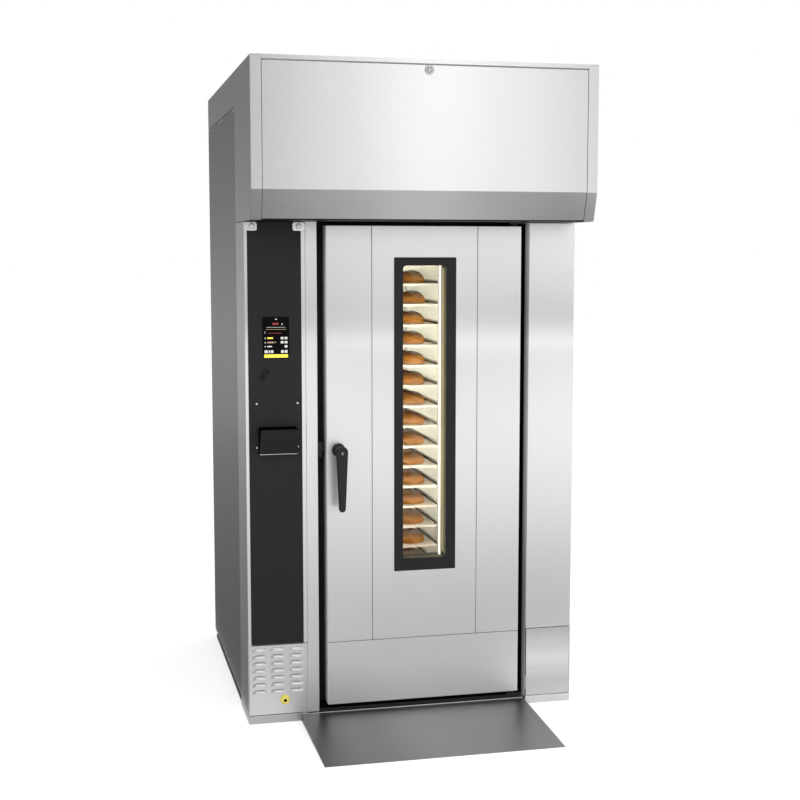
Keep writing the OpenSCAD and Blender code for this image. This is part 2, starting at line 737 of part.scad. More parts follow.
module extraction_wheel() color("lightsteelblue") at_front()
  translate([extract_x, extract_y, extract_z + 70]) mirror([0, 0, 1]) intersection() {
    impeller(extract_r, 70, 14, 70, 120);
    cylinder(r = extract_r, h = 120);
  }

// Drum under the roof with the collar above it and a flat duct to the hood
module exhaust_duct() color("silver") at_front() translate([extract_x, extract_y, 0])
  difference() {
    union() {
      translate([0, 0, drum_z]) cylinder(r = drum_r, h = cab_h - sheet_t - drum_z);
      translate([0, 0, cab_h - 10]) cylinder(r = collar_r - 1, h = 12);
      translate([0, 0, cab_h + 1]) cylinder(r = collar_r, h = collar_h - 1);
      slab([-duct_hw, duct_hw], [-extract_y - 120, -drum_r + 40],
           [duct_z, duct_z + duct_h]);
    }
    translate([0, 0, drum_z + 2])
      cylinder(r = drum_r - 2, h = cab_h - sheet_t - drum_z - 4);
    translate([0, 0, cab_h - 20]) cylinder(r = collar_r - 3, h = collar_h + 40);
    slab([-duct_hw + 2, duct_hw - 2], [-extract_y - 121, -drum_r + 60],
         [duct_z + 2, duct_z + duct_h - 2]);
    translate([0, 0, drum_z - 1]) cylinder(r = 30, h = 5);
  }

// Lower and upper pivot: a plate on the right jamb, its pin and a thrust washer
module hinge_bracket() {
  slab([-22, right_jamb_x - pivot_x], [-20, 20], [0, hinge_plate_t]);
  cylinder(r = pivot_r, h = hinge_plate_t + bush_l);
}

// Both pivots, and the keeper on the left jamb that the latch finger reaches towards
module door_hardware() color("silver") at_front() {
  translate([pivot_x, pivot_y, floor_z]) {
    hinge_bracket();
    cylinder(r = bush_r, h = door_gap_b - rest_gap);
  }
  translate([pivot_x, pivot_y, hood_z]) mirror([0, 0, 1]) {
    hinge_bracket();
    cylinder(r = bush_r, h = door_gap_t - rest_gap);
  }
  slab([jamb_x, stem_x - finger_l - 1.5], [26, 38], [stem_z - 30, stem_z + 30]);
  slab([jamb_x, jamb_x + 3], [26, 70], [stem_z - 40, stem_z + 40]);
}

module hinge_bushes() color("goldenrod") at_front()
  for (z = [door_z0, door_z1 - bush_l]) translate([pivot_x, pivot_y, z]) difference() {
    cylinder(r = bush_r, h = bush_l);
    translate([0, 0, -1]) cylinder(r = pivot_r + run_gap, h = bush_l + 2);
  }

// Opening of the window tunnel through the door
module window_hole(grow, y) translate([0, y[0], 0])
  round_plate([glass_x0 - grow, glass_x1 + grow], [glass_z0 - grow, glass_z1 + grow],
              window_r + grow, y[1] - y[0]);

// Steel tray of the door: sides, rear sheet and the two pivot blocks
module door_case() color("gray") at_front() difference() {
  union() {
    difference() {
      slab([door_x0, door_x1], [skin_y, door_y1], [door_z0, door_z1]);
      slab([door_x0 + case_t, door_x1 - case_t], [skin_y - 1, door_y1 - case_t],
           [door_z0 + case_t, door_z1 - case_t]);
    }
    for (z = [door_z0, door_z1 - bush_l - 4])
      slab([pivot_x - 22, door_x1 - 1], [skin_y, pivot_y + 22], [z, z + bush_l + 4]);
  }
  for (z = [door_z0 - 1, door_z1 - bush_l])
    translate([pivot_x, pivot_y, z]) cylinder(r = bush_r, h = bush_l + 1);
  window_hole(tunnel_t, [0, 100]);
  slab([door_x0 - 1, door_x0 + 5], [finger_y - 2, finger_y + 10],
       [stem_z - 52, stem_z + 13]);
}

module door_insulation() color("khaki") at_front() difference() {
  slab([door_x0 + case_t, door_x1 - case_t], [skin_y, door_y1 - case_t],
       [door_z0 + case_t, door_z1 - case_t]);
  for (z = [door_z0, door_z1 - bush_l - 4])
    slab([pivot_x - 22, door_x1], [skin_y - 1, pivot_y + 22], [z, z + bush_l + 4]);
  window_hole(tunnel_t, [-20, 100]);
  translate([stem_x, -20, stem_z]) rod_y(stem_r + 2, 100);
  translate([stem_x, finger_y - 3, stem_z]) rod_y(finger_l + 4, 14);
}

// Left, right and kick skin
module door_outer_skins() color("lightgray") at_front() difference() {
  union() {
    for (x = [[door_x0, door_x0 + skin_side_w], [door_x1 - skin_side_w, door_x1]])
      slab(x, [door_y0, skin_y], [door_z0 + kick_h + seam, door_z1]);
    slab([door_x0, door_x1], [door_y0, skin_y], [door_z0, door_z0 + kick_h]);
  }
  translate([stem_x, -20, stem_z]) rod_y(stem_r + 2, 30);
}

module door_middle_skin() color("lightgray") at_front() difference() {
  slab([door_x0 + skin_side_w + seam, door_x1 - skin_side_w - seam],
       [door_y0, skin_y], [door_z0 + kick_h + seam, door_z1]);
  window_hole(tunnel_t, [-20, 20]);
}

// Black bezel on the skin and the reveal through the door
module window_frame() color([0.13, 0.13, 0.13]) at_front() difference() {
  union() {
    translate([0, door_y0 - 4, 0]) round_plate([win_x0, win_x1], [win_z0, win_z1], 3, 4);
    window_hole(tunnel_t, [door_y0, door_y1]);
  }
  window_hole(0, [-20, 100]);
  translate([lamp_x, lamp_y, glass_z0])
    cylinder(r = lamp_r + lamp_cap_t + rest_gap, h = glass_z1 - glass_z0);
}

module window_glass() color([0.6, 0.75, 0.75, 0.35]) at_front()
  for (y = [door_y0 + 3, door_y1 - 9])
    window_hole(-rest_gap, [y, y + glass_t]);

module window_lamp() color("white") at_front() translate([lamp_x, lamp_y, 0]) {
  for (z = [glass_z0, glass_z1 - 12])
    translate([0, 0, z]) cylinder(r = lamp_r + lamp_cap_t, h = 12);
  translate([0, 0, glass_z0 + 11])
    cylinder(r = lamp_r, h = glass_z1 - glass_z0 - 22);
}

// Three sided seal behind the door and the sweep under it
module door_gasket() color([0.1, 0.1, 0.1]) at_front() {
  y = [door_y1, recess_d - rest_gap];
  x0 = door_x0 + 6;
  x1 = pivot_x - 5;
  top = door_z1 - 10;
  slab([x0, x0 + gasket_w], y, [door_z0 + 8, top]);
  slab([x1 - gasket_w, x1], y, [door_z0 + 8, top]);
  slab([x0, x1], y, [top - gasket_w, top]);
  slab([x0, pivot_x - 17], [door_y1 - 22, door_y1 - 6], [floor_z + rest_gap, door_z0]);
}

module handle_rosette() color([0.1, 0.1, 0.1]) at_front()
  translate([stem_x, door_y0, stem_z]) rotate([90, 0, 0]) rotate_extrude()
    polygon([[stem_r + run_gap, 0], [27, 0], [27, 4], [24, 7], [17, 9], [17, 16],
             [stem_r + run_gap, 16]]);

// Stem through the door with the latch finger on it
module handle_stem() color([0.12, 0.12, 0.12]) at_front() translate([stem_x, 0, stem_z]) {
  translate([0, lever_y + lever_t, 0]) rod_y(stem_r, finger_y + 12 - lever_y - lever_t);
  translate([0, lever_y + lever_t, 0])
    rod_y(17, door_y0 - 16 - rest_gap - lever_y - lever_t);
  slab([-finger_l, 0], [finger_y, finger_y + 8], [-10, 10]);
}

// Flat lever: round hub, straight tangent sides, round tip
module lever_outline(r1, r2, l) {
  lean = asin((r1 - r2) / l);
  circle(r1);
  translate([0, -l]) circle(r2);
  polygon([[r1 * cos(lean), r1 * sin(-lean)], [r2 * cos(lean), -l - r2 * sin(lean)],
           [-r2 * cos(lean), -l - r2 * sin(lean)], [-r1 * cos(lean), r1 * sin(-lean)]]);
}

module handle_lever() color([0.08, 0.08, 0.08]) at_front()
  translate([stem_x, lever_y + lever_t, stem_z]) rotate([90, 0, 0]) {
    linear_extrude(lever_t - 3) lever_outline(20, 13, lever_l);
    translate([0, 0, lever_t - 3]) linear_extrude(1.5) lever_outline(19, 12, lever_l);
    translate([0, 0, lever_t - 1.5]) linear_extrude(1.5) lever_outline(17, 10, lever_l);
    translate([0, 0, lever_t]) screw_head(6.5);
  }

// Portal over the chamber: base with the shaft's guide tube, two rods, top bar
module lift_frame() color("slategray") at_rack() {
  difference() {
    union() {
      slab([-140, 140], [-110, 150], [drive_base_z, drive_base_z + 6]);
      translate([0, 0, ceiling_z])
        cylinder(r = shaft_r + 10 - rest_gap, h = drive_base_z - ceiling_z + 6);
      translate([0, rod_y0, drive_base_z]) cylinder(r = 24, h = roof_room * 0.184);
    }
    translate([0, 0, ceiling_z - 1])
      cylinder(r = shaft_r + run_gap, h = drive_base_z - ceiling_z + 20);
    translate([0, rod_y0, drive_base_z + 20])
      cylinder(r = rod_r + run_gap, h = roof_room * 0.2);
  }
  for (x = [-guide_x, guide_x]) translate([x, 0, drive_base_z + 5])
    cylinder(r = guide_r, h = drive_top - drive_base_z);
  slab([-140, 140], [-30, 30], [drive_top, drive_top + 10]);
}

// Yoke on the guide rods with the gearbox, its motor and the lifting rod
module lift_gearmotor() color("steelblue") at_rack() difference() {
  union() {
    slab([-140, 140], [-60, 135], [yoke_z, yoke_z + yoke_t]);
    for (x = [-guide_x, guide_x]) translate([x, 0, yoke_z])
      cylinder(r = guide_r + 9, h = 45);
    slab([-65, 65], [-65, 70], [yoke_z + yoke_t, collar_z]);
    translate([0, 60, yoke_z + yoke_t + 56]) {
      rod_y(42, 160);
      for (k = [0:4]) translate([0, 30 + k * 24, 0]) rod_y(48, 5);
    }
    translate([0, rod_y0, drive_base_z + rod_low])
      cylinder(r = rod_r, h = yoke_z + 1 - drive_base_z - rod_low);
  }
  translate([0, 0, yoke_z - 1]) cylinder(r = shaft_r + run_gap, h = 200);
  for (x = [-guide_x, guide_x]) translate([x, 0, yoke_z - 1])
    cylinder(r = guide_r + run_gap, h = 60);
}

// Drive shaft: bearing collar above, C shaped hanger below that holds the rack's head
module drive_shaft() color("silver") at_rack() {
  translate([0, 0, hanger_z]) cylinder(r = shaft_r, h = collar_z + 24 - hanger_z);
  translate([0, 0, collar_z + rest_gap]) cylinder(r = 28, h = 16);
  low = head_z - rest_gap - 10;
  difference() {
    slab([-72, 72], [-40, 40], [low, hanger_z + 12]);
    slab([-60, 60], [-41, 41], [head_z - rest_gap, hanger_z]);
    slab([-22, 22], [-41, 41], [low - 1, head_z]);
  }
}

// One ladder side: two posts and an angle runner under each tray
module rack_side() {
  x0 = tray_w / 2 + 3;
  for (y = [-rack_hd, rack_hd - tube_w]) difference() {
    slab([x0 + sheet_t, rack_hw], [y, y + tube_w], [base_z + tube_w, rack_top_z]);
    slab([x0 + 2 * sheet_t, rack_hw - sheet_t], [y + sheet_t, y + tube_w - sheet_t],
         [base_z, rack_top_z + 1]);
  }
  for (k = [0:tray_count - 1]) {
    z = tray_z0 + k * tray_pitch - tray_t;
    slab([x0, x0 + sheet_t], [-rack_hd + 2, rack_hd - 2], [z - sheet_t, z + 16]);
    slab([x0 - 20, x0 + sheet_t], [-rack_hd + 14, rack_hd - 14], [z - sheet_t, z]);
  }
}

module rack_sides() color("silver") at_rack() mirrored_x() rack_side();

// A rectangle of square tube
module rack_ring(z) difference() {
  slab([-rack_hw, rack_hw], [-rack_hd, rack_hd], [z, z + tube_w]);
  slab([-rack_hw + tube_w, rack_hw - tube_w], [-rack_hd + tube_w, rack_hd - tube_w],
       [z - 1, z + tube_w + 1]);
}

module rack_ends() color("silver") at_rack() {
  difference() {
    union() {
      rack_ring(base_z);
      for (y = [-caster_y, 0, caster_y])
        slab([-rack_hw + 1, rack_hw - 1], [y - 30, y + 30], [base_z, base_z + tube_w]);
    }
    for (x = [-caster_x, caster_x]) translate([x, caster_y, base_z - 1])
      cylinder(r = kingpin_r + run_gap, h = 22);
  }
  rack_ring(rack_top_z);
  slab([-rack_hw + 1, rack_hw - 1], [-30, 30], [rack_top_z, rack_top_z + tube_w]);
  slab([-12, 12], [-30, 30], [rack_top_z + tube_w - 1, head_z + 1]);
  slab([-50, 50], [-36, 36], [head_z, head_z + head_t]);
}

// A flat tray: side rims up, front and rear edge folded down
module tray() {
  hw = tray_w / 2;
  hd = tray_d / 2;
  slab([-hw, hw], [-hd, hd], [-tray_t, 0]);
  mirrored_x() slab([hw - tray_t, hw], [-hd, hd], [-tray_t, rim_h - tray_t]);
  for (y = [-hd, hd - tray_t])
    slab([-hw, hw], [y, y + tray_t], [-rim_h, 0]);
}

module trays() color("gainsboro") at_rack()
  for (k = [0:tray_count - 1]) translate([0, 0, tray_z0 + k * tray_pitch]) tray();

// A loaf is turned from a low domed outline
module loaf() rotate_extrude() polygon([[0, 0], [loaf_d * 0.43, 0], [loaf_d / 2, 12],
  [loaf_d * 0.44, 30], [loaf_d * 0.26, loaf_h - 4], [0, loaf_h]]);

module loaves() color("peru") at_rack()
  for (k = [0:tray_count - 1], x = [-0.245, 0.245], y = [-1, 0, 1])
    translate([x * tray_w, y * tray_d / 3, tray_z0 + k * tray_pitch]) loaf();

// A caster fork: top plate, two cheeks, axle
module fork(trail, top_z) {
  slab([-24, 24], [min(-30, trail - 18), max(30, trail + 18)], [top_z - 5, top_z]);
  for (x = [-22, 18.5]) difference() {
    slab([x, x + 3.5], [trail - 18, trail + 18], [axle_z - 12, top_z - 4]);
    for (side = [-1, 1]) translate([x - 1, trail + side * 18, axle_z - 12])
      rod_x(10, 6);
  }
  translate([-25, trail, axle_z]) rod_x(axle_r, 50);
}

module caster_forks() color("gray") at_rack()
  for (x = [-caster_x, caster_x]) translate([x, -caster_y, 0]) fork(0, base_z);

module swivel(x) color("gray") at_rack() translate([x, caster_y, 0]) {
  fork(-swivel_trail, base_z - rest_gap);
  translate([0, 0, base_z - 2]) cylinder(r = kingpin_r, h = 20);
}

module wheel(x, y) color([0.2, 0.2, 0.2]) at_rack() translate([x, y, axle_z]) {
  half = wheel_w / 2;
  r = wheel_d / 2;
  rotate([0, 90, 0]) rotate_extrude() polygon([[axle_r + run_gap, -half - 2],
    [14, -half - 2], [16, 2 - half], [r - 14, 4 - half], [r - 10, -half], [r - 3, -half],
    [r, 5 - half], [r, half - 5], [r - 3, half], [r - 10, half], [r - 14, half - 4],
    [16, half - 2], [14, half + 2], [axle_r + run_gap, half + 2]]);
}

base_frame();
ramp();
chamber_floor();
front_frame();
door_jambs();
lintel();
left_column();
control_panel();
touchscreen();
usb_port();
usb_cap();
document_pocket();
louvre_panel();
hose_fitting();
electrical_plate();
right_column();
side_panels();
rear_panels();
roof_panel();
hood_cheeks();
hood_pan();
hood_hatch();
hatch_lock();
cover_screws();
chamber_walls();
chamber_ceiling();
air_duct();
insulation();
fan_housing();
fan_motors();
exhaust_duct();
door_hardware();
lift_frame();
door_case();
door_insulation();
door_outer_skins();
door_middle_skin();
window_frame();
window_glass();
window_lamp();
door_gasket();
hinge_bushes();
handle_rosette();
handle_stem();
handle_lever();
lift_gearmotor();
drive_shaft();
rack_sides();
rack_ends();
trays();
loaves();
caster_forks();
swivel(-caster_x);  // swivel_left
swivel(caster_x);  // swivel_right
wheel(-caster_x, -caster_y);  // wheel_front_left
wheel(caster_x, -caster_y);  // wheel_front_right
wheel(-caster_x, caster_y - swivel_trail);  // wheel_rear_left
wheel(caster_x, caster_y - swivel_trail);  // wheel_rear_right
fan_wheel();
extraction_wheel();
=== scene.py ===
import json
import math

import bpy
import numpy as np
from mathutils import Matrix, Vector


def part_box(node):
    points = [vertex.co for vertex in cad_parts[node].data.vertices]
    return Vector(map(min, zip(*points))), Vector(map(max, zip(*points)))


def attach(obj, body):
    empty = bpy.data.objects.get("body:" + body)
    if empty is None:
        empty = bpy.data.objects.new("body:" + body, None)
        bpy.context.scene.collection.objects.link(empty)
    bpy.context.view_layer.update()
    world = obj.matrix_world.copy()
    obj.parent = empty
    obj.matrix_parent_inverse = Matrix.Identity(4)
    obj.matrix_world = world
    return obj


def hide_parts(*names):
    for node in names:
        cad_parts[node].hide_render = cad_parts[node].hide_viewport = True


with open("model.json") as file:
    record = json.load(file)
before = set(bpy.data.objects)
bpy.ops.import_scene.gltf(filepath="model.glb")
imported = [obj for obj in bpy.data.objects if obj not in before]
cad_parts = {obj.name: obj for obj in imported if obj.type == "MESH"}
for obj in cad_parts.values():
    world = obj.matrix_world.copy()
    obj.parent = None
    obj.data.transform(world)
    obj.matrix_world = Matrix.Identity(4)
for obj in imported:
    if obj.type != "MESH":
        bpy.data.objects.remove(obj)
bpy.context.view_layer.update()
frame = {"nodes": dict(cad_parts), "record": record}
nodes = frame["nodes"]


# The lowest and highest corner of a solid at rest, to a tenth of a millimetre.
def solidBox(node):
    return [[round(c, 4) for c in corner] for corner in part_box(node)]


# The same box as seen from the front: left, bottom, right, top.
def frontBox(node):
    low, high = solidBox(node)
    return low[0], low[2], high[0], high[2]


frontY = solidBox("right_column")[0][1]
rackY = (solidBox("trays")[0][1] + solidBox("trays")[1][1]) / 2
print("frame loaded")


# Meshes

# Quads between neighbouring rows and columns of a grid of points.
def weave(rings, columns, closedU, closedV):
    row = np.arange(rings if closedU else rings - 1)
    col = np.arange(columns if closedV else columns - 1)
    r, c = np.meshgrid(row, col, indexing="ij")
    nextR = (r + 1) % rings
    nextC = (c + 1) % columns
    return np.stack([r * columns + c, r * columns + nextC, nextR * columns + nextC,
                     nextR * columns + c], -1).reshape(-1, 4)


# One object from points and faces, with its normals outwards.
def build(name, points, faces, material, body, replaced=(), slot=None, angle=35):
    mesh = bpy.data.meshes.new(name)
    mesh.from_pydata(points.tolist(), [], [list(map(int, f)) for f in faces])
    mesh.validate()
    mesh.shade_smooth()
    mesh.set_sharp_from_angle(angle=math.radians(angle))
    mesh.materials.append(material)
    obj = bpy.data.objects.new(name, mesh)
    bpy.context.scene.collection.objects.link(obj)
    weighted = obj.modifiers.new("weighted", "WEIGHTED_NORMAL")
    weighted.weight = 100
    weighted.keep_sharp = True
    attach(obj, body)
    if replaced:
        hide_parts(*replaced)
    return obj


# Several (points, faces) shells in one.
def joined(parts):
    points, faces, start = [], [], 0
    for p, f in parts:
        points.append(p)
        faces += [[i + start for i in face] for face in f]
        start += len(p)
    return np.concatenate(points), faces


# Rings of points joined into a skin, with a flat cap on the first and last.
def shell(rings, capped=True, closedU=False):
    rings = np.asarray(rings, float)
    count, columns = rings.shape[:2]
    faces = weave(count, columns, closedU, True).tolist()
    if capped and not closedU:
        faces.append(list(range(columns)))
        faces.append(list(range((count - 1) * columns, count * columns))[::-1])
    return outward(rings.reshape(-1, 3), faces)


# Turns a closed shell's faces the same way round, outwards.
def outward(points, faces):
    centre = points.mean(0)
    volume = 0.0
    for f in faces:
        p = points[f] - centre
        volume += np.einsum("ij,j->", np.cross(p[1:-1], p[2:]), p[0])
    return points, (faces if volume > 0 else [f[::-1] for f in faces])


# Maps (across, up, depth) on a face of the cabinet to the row frame.
def face(kind, origin):
    def place(a, b, d):
        a, b, d = np.broadcast_arrays(a, b, d)
        if kind == "front":
            return np.stack([a, origin + d, b], -1)
        if kind == "rear":
            return np.stack([a, origin - d, b], -1)
        if kind == "left":
            return np.stack([origin + d, a, b], -1)
        if kind == "right":
            return np.stack([origin - d, a, b], -1)
        return np.stack([a, b, origin - d], -1)
    return place


# A rectangle with round corners: quarter circles about four centres, counterclockwise.
def outline(box, radius, steps=4):
    a0, b0, a1, b1 = box
    radius = max(min(radius, (a1 - a0) / 2 - 1e-5, (b1 - b0) / 2 - 1e-5), 1e-5)
    turn = np.linspace(0, math.pi / 2, steps + 1)
    pieces = []
    for k, (ca, cb) in enumerate([(a1 - radius, b1 - radius), (a0 + radius, b1 - radius),
                                  (a0 + radius, b0 + radius), (a1 - radius, b0 + radius)]):
        angle = turn + k * math.pi / 2
        pieces.append(np.stack([ca + radius * np.cos(angle), cb + radius * np.sin(angle)], -1))
    return np.concatenate(pieces)


# A sheet's edge from back to front: straight, then a quarter circle of that radius.
def rolled(t, edge, steps=3):
    turn = np.linspace(0, math.pi / 2, steps + 1)
    return [(0, t)] + [(edge * (1 - math.cos(a)), edge * (1 - math.sin(a))) for a in turn]


# Rings of a rounded outline, drawn in by each step's inset, or let out where way is -1.
def outlines(place, box, radius, steps, edges, way=1):
    rings = []
    a0, b0, a1, b1 = box
    for inset, depth in edges:
        d = way * inset
        line = outline((a0 + d, b0 + d, a1 - d, b1 - d), radius - d, steps)
        rings.append(place(line[:, 0], line[:, 1], depth))
    return rings


# A plate: its rounded outline moves inwards along its rolled edge.
def plate(place, box, t, edge, radius=0.002, steps=4):
    return shell(outlines(place, box, radius, steps, rolled(t, edge)))


# A plate with a hole: outer outline, front, inner outline, back, closed in a loop.
def collar(place, outer, inner, t, edge, radii, inEdge=None, steps=6):
    around = outlines(place, outer, radii[0], steps, rolled(t, edge))
    within = outlines(place, inner, radii[1], steps, rolled(t, inEdge or edge)[::-1], -1)
    return shell(around + within, closedU=True)


# A profile of (radius, height) pairs turned about an axis, closed at both ends.
def turned(centre, axis, profile, steps=40):
    turn = np.linspace(0, 2 * math.pi, steps, endpoint=False)
    axis = np.array(axis, float) / np.linalg.norm(axis)
    side = np.cross(axis, [0, 0, 1] if abs(axis[2]) < 0.9 else [1, 0, 0])
    side /= np.linalg.norm(side)
    other = np.cross(axis, side)
    rings = [np.array(centre) + axis * h + r * (np.cos(turn)[:, None] * side
                                                + np.sin(turn)[:, None] * other)
             for r, h in profile]
    return shell(rings)


# A closed profile pushed along an axis, its ends drawn in by a small bevel.
def swept(axis, span, loop, bevel=0.0006):
    loop = np.array(loop, float)
    if np.sum(loop[:, 0] * np.roll(loop[:, 1], -1) - loop[:, 1] * np.roll(loop[:, 0], -1)) < 0:
        loop = loop[::-1]
    after = np.roll(loop, -1, 0) - loop
    after /= np.linalg.norm(after, axis=1)[:, None]
    before = np.roll(after, 1, 0)
    inward = np.stack([-(after[:, 1] + before[:, 1]), after[:, 0] + before[:, 0]], -1)
    inward /= np.maximum(np.linalg.norm(inward, axis=1)[:, None], 1e-6)
    rings = []
    for at, inset in [(span[0], bevel), (span[0] + bevel, 0), (span[1] - bevel, 0),
                      (span[1], bevel)]:
        ring = loop + inward * inset
        u, v = ring[:, 0], ring[:, 1]
        s = np.full(len(u), at)
        rings.append(np.stack({"x": [s, u, v], "y": [u, s, v], "z": [u, v, s]}[axis], -1))
    return shell(rings)


# A polyline whose inner corners are arcs of the given radius.
def bent(points, radius, steps=4):
    points = np.array(points, float)
    line = [points[0]]
    for before, here, after in zip(points, points[1:], points[2:]):
        u = (before - here) / np.linalg.norm(before - here)
        v = (after - here) / np.linalg.norm(after - here)
        half = math.acos(np.clip(u @ v, -1, 1)) / 2
        reach = radius / math.tan(half)
        start, end = here + u * reach, here + v * reach
        for t in np.linspace(0, 1, steps + 1):
            line.append((1 - t) ** 2 * start + 2 * t * (1 - t) * here + t * t * end)
    line.append(points[-1])
    return np.array(line)


# A polyline given a thickness to its left, as a closed profile.
def thickened(line, t):
    line = np.array(line)
    step = np.gradient(line, axis=0)
    step /= np.linalg.norm(step, axis=1)[:, None]
    other = line + t * np.stack([-step[:, 1], step[:, 0]], -1)
    return np.concatenate([line, other[::-1]])


# Materials

# A new material with its tree and its shader.
def material(name):
    mat = bpy.data.materials.new(name)
    mat.use_nodes = True
    return mat, mat.node_tree, mat.node_tree.nodes["Principled BSDF"]


# Fills a node's inputs: a socket is linked, and anything else is the input's own value.
def feed(tree, target, inputs):
    for name, value in inputs.items():
        if isinstance(value, bpy.types.NodeSocket):
            tree.links.new(value, target.inputs[name])
        else:
            target.inputs[name].default_value = value


# A new node with its inputs filled.
def node(tree, kind, inputs):
    made = tree.nodes.new("ShaderNode" + kind)
    feed(tree, made, inputs)
    return made


# One step of arithmetic on the values.
def arithmetic(tree, operation, *values):
    made = node(tree, "Math", dict(enumerate(values)))
    made.operation = operation
    return made.outputs[0]


# Two colours mixed by a factor.
def blended(tree, factor, first, second, way="MIX"):
    made = node(tree, "Mix", {})
    made.data_type = "RGBA"
    made.blend_type = way
    feed(tree, made, {"Factor": factor, "A": first, "B": second})
    return made.outputs["Result"]


# Noise on object coordinates, drawn out along the axes with a small stretch factor.
def noise(tree, stretch, scale, detail=3.0):
    coords = node(tree, "TexCoord", {})
    mapping = node(tree, "Mapping", {"Vector": coords.outputs["Object"], "Scale": stretch})
    return node(tree, "TexNoise", {"Vector": mapping.outputs["Vector"], "Scale": scale,
                                   "Detail": detail}).outputs["Fac"]


# Stretches the middle of a noise, 0.3 to 0.7, over the range from low to high.
def remap(tree, value, low=0.0, high=1.0):
    return node(tree, "MapRange", {"Value": value, "From Min": 0.3, "From Max": 0.7,
                                   "To Min": low, "To Max": high}).outputs["Result"]


# A colour mottled by the value: darker and lighter by the contrast.
def mottled(tree, value, color, contrast):
    dark, light = [tuple(min(c * (1 + way * contrast), 1) for c in color) for way in (-1, 1)]
    return blended(tree, value, (*dark, 1), (*light, 1))


# A normal that leans with the slope of the value.
def bump(tree, value, strength, distance):
    return node(tree, "Bump", {"Height": value, "Strength": strength,
                               "Distance": distance}).outputs["Normal"]


# Brushed sheet: three quarters fine streaks along the grain, one quarter slow clouds.
def steel(name, color, rough, grain, contrast=0.04, metallic=1.0):
    mat, tree, shader = material(name)
    stretch = {"x": (2, 260, 260), "z": (260, 260, 2), "y": (260, 2, 260)}[grain]
    clouds = arithmetic(tree, "MULTIPLY", noise(tree, (1, 1, 1), 2.2, 2.0), 0.25)
    brushed = arithmetic(tree, "MULTIPLY_ADD", noise(tree, stretch, 3.0, 4.0), 0.75, clouds)
    feed(tree, shader, {
        "Base Color": mottled(tree, remap(tree, brushed), color, contrast),
        "Roughness": remap(tree, brushed, rough * 0.9, rough * 1.15), "Metallic": metallic})
    return mat


# A grey that follows (place, level) pairs along one of the object's axes.
def levelRamp(tree, axis, levels, scale=1.0, interpolation="LINEAR"):
    first, last = levels[0][0], levels[-1][0]
    coords = node(tree, "TexCoord", {})
    split = node(tree, "SeparateXYZ", {0: coords.outputs["Object"]})
    span = node(tree, "MapRange", {"Value": split.outputs[axis], "From Min": first,
                                   "From Max": last})
    ramp = node(tree, "ValToRGB", {0: span.outputs["Result"]})
    ramp.color_ramp.interpolation = interpolation
    stops = ramp.color_ramp.elements
    stops.remove(stops[1])
    for k, (place, level) in enumerate(levels):
        at = (place - first) / (last - first)
        stop = stops[0] if k == 0 else stops.new(at)
        stop.position = at
        stop.color = (level * scale, level * scale, level * scale, 1)
    return ramp.outputs["Color"]


# Painted sheen and shade across a sheet: its colour is scaled by a level that runs along an axis,
# standing in for reflections and for shade.
def paintedSheenAndShade(mat, axis, levels):
    tree = mat.node_tree
    shader = tree.nodes["Principled BSDF"]
    level = levelRamp(tree, axis, levels, interpolation="EASE")
    source = shader.inputs["Base Color"].links[0].from_socket
    feed(tree, shader, {"Base Color": blended(tree, 1.0, source, level, "MULTIPLY")})


# An even finish with faint mottling, and with a fine grain where grainScale isn't 0.
def plain(name, color, rough, metallic=0.0, grainScale=0.0, contrast=0.06, specular=0.5):
    mat, tree, shader = material(name)
    value = noise(tree, (1, 1, 1), grainScale or 40.0)
    feed(tree, shader, {
        "Base Color": mottled(tree, remap(tree, value), color, contrast),
        "Roughness": rough, "Metallic": metallic, "Specular IOR Level": specular})
    if grainScale:
        feed(tree, shader, {"Normal": bump(tree, value, 0.15, 0.0004)})
    return mat


# A finish that gives off its own light.
def glowing(name, color, strength):
    mat, tree, shader = material(name)
    feed(tree, shader, {"Base Color": (*color, 1), "Emission Color": (*color, 1),
                        "Emission Strength": strength})
    return mat


# Window glass: mostly clear, with a share of true glass for its reflections.
def windowGlass():
    mat, tree, shader = material("windowGlass")
    feed(tree, shader, {"Base Color": (1, 1, 1, 1), "Roughness": 0.02,
                        "Transmission Weight": 1.0, "IOR": 1.45})
    clear = node(tree, "BsdfTransparent", {})
    mix = node(tree, "MixShader", {0: 0.93, 1: shader.outputs[0], 2: clear.outputs[0]})
    feed(tree, tree.nodes["Material Output"], {"Surface": mix.outputs[0]})
    return mat


# Baked crust: golden brown sides with slow blotches, dark where it faces up, as tops bake darker,
# and dark where it faces down, painted shade where it sits on the tray.
def bakedCrust():
    mat, tree, shader = material("crust")
    coords = node(tree, "TexCoord", {})
    split = node(tree, "SeparateXYZ", {0: coords.outputs["Normal"]})
    level = arithmetic(tree, "ABSOLUTE", split.outputs[2])
    browningAndUnderShade = node(tree, "MapRange", {"Value": level, "From Min": 0.30, "From Max": 0.92})
    blotches = remap(tree, noise(tree, (1, 1, 1), 28.0, 5.0))
    golden = blended(tree, blotches, (0.27, 0.095, 0.012, 1), (0.47, 0.20, 0.034, 1))
    feed(tree, shader, {
        "Base Color": blended(tree, browningAndUnderShade.outputs["Result"], golden, (0.075, 0.028, 0.008, 1)),
        "Normal": bump(tree, noise(tree, (1, 1, 1), 120.0, 6.0), 0.5, 0.002),
        "Roughness": 0.6, "Specular IOR Level": 0.03})
    return mat


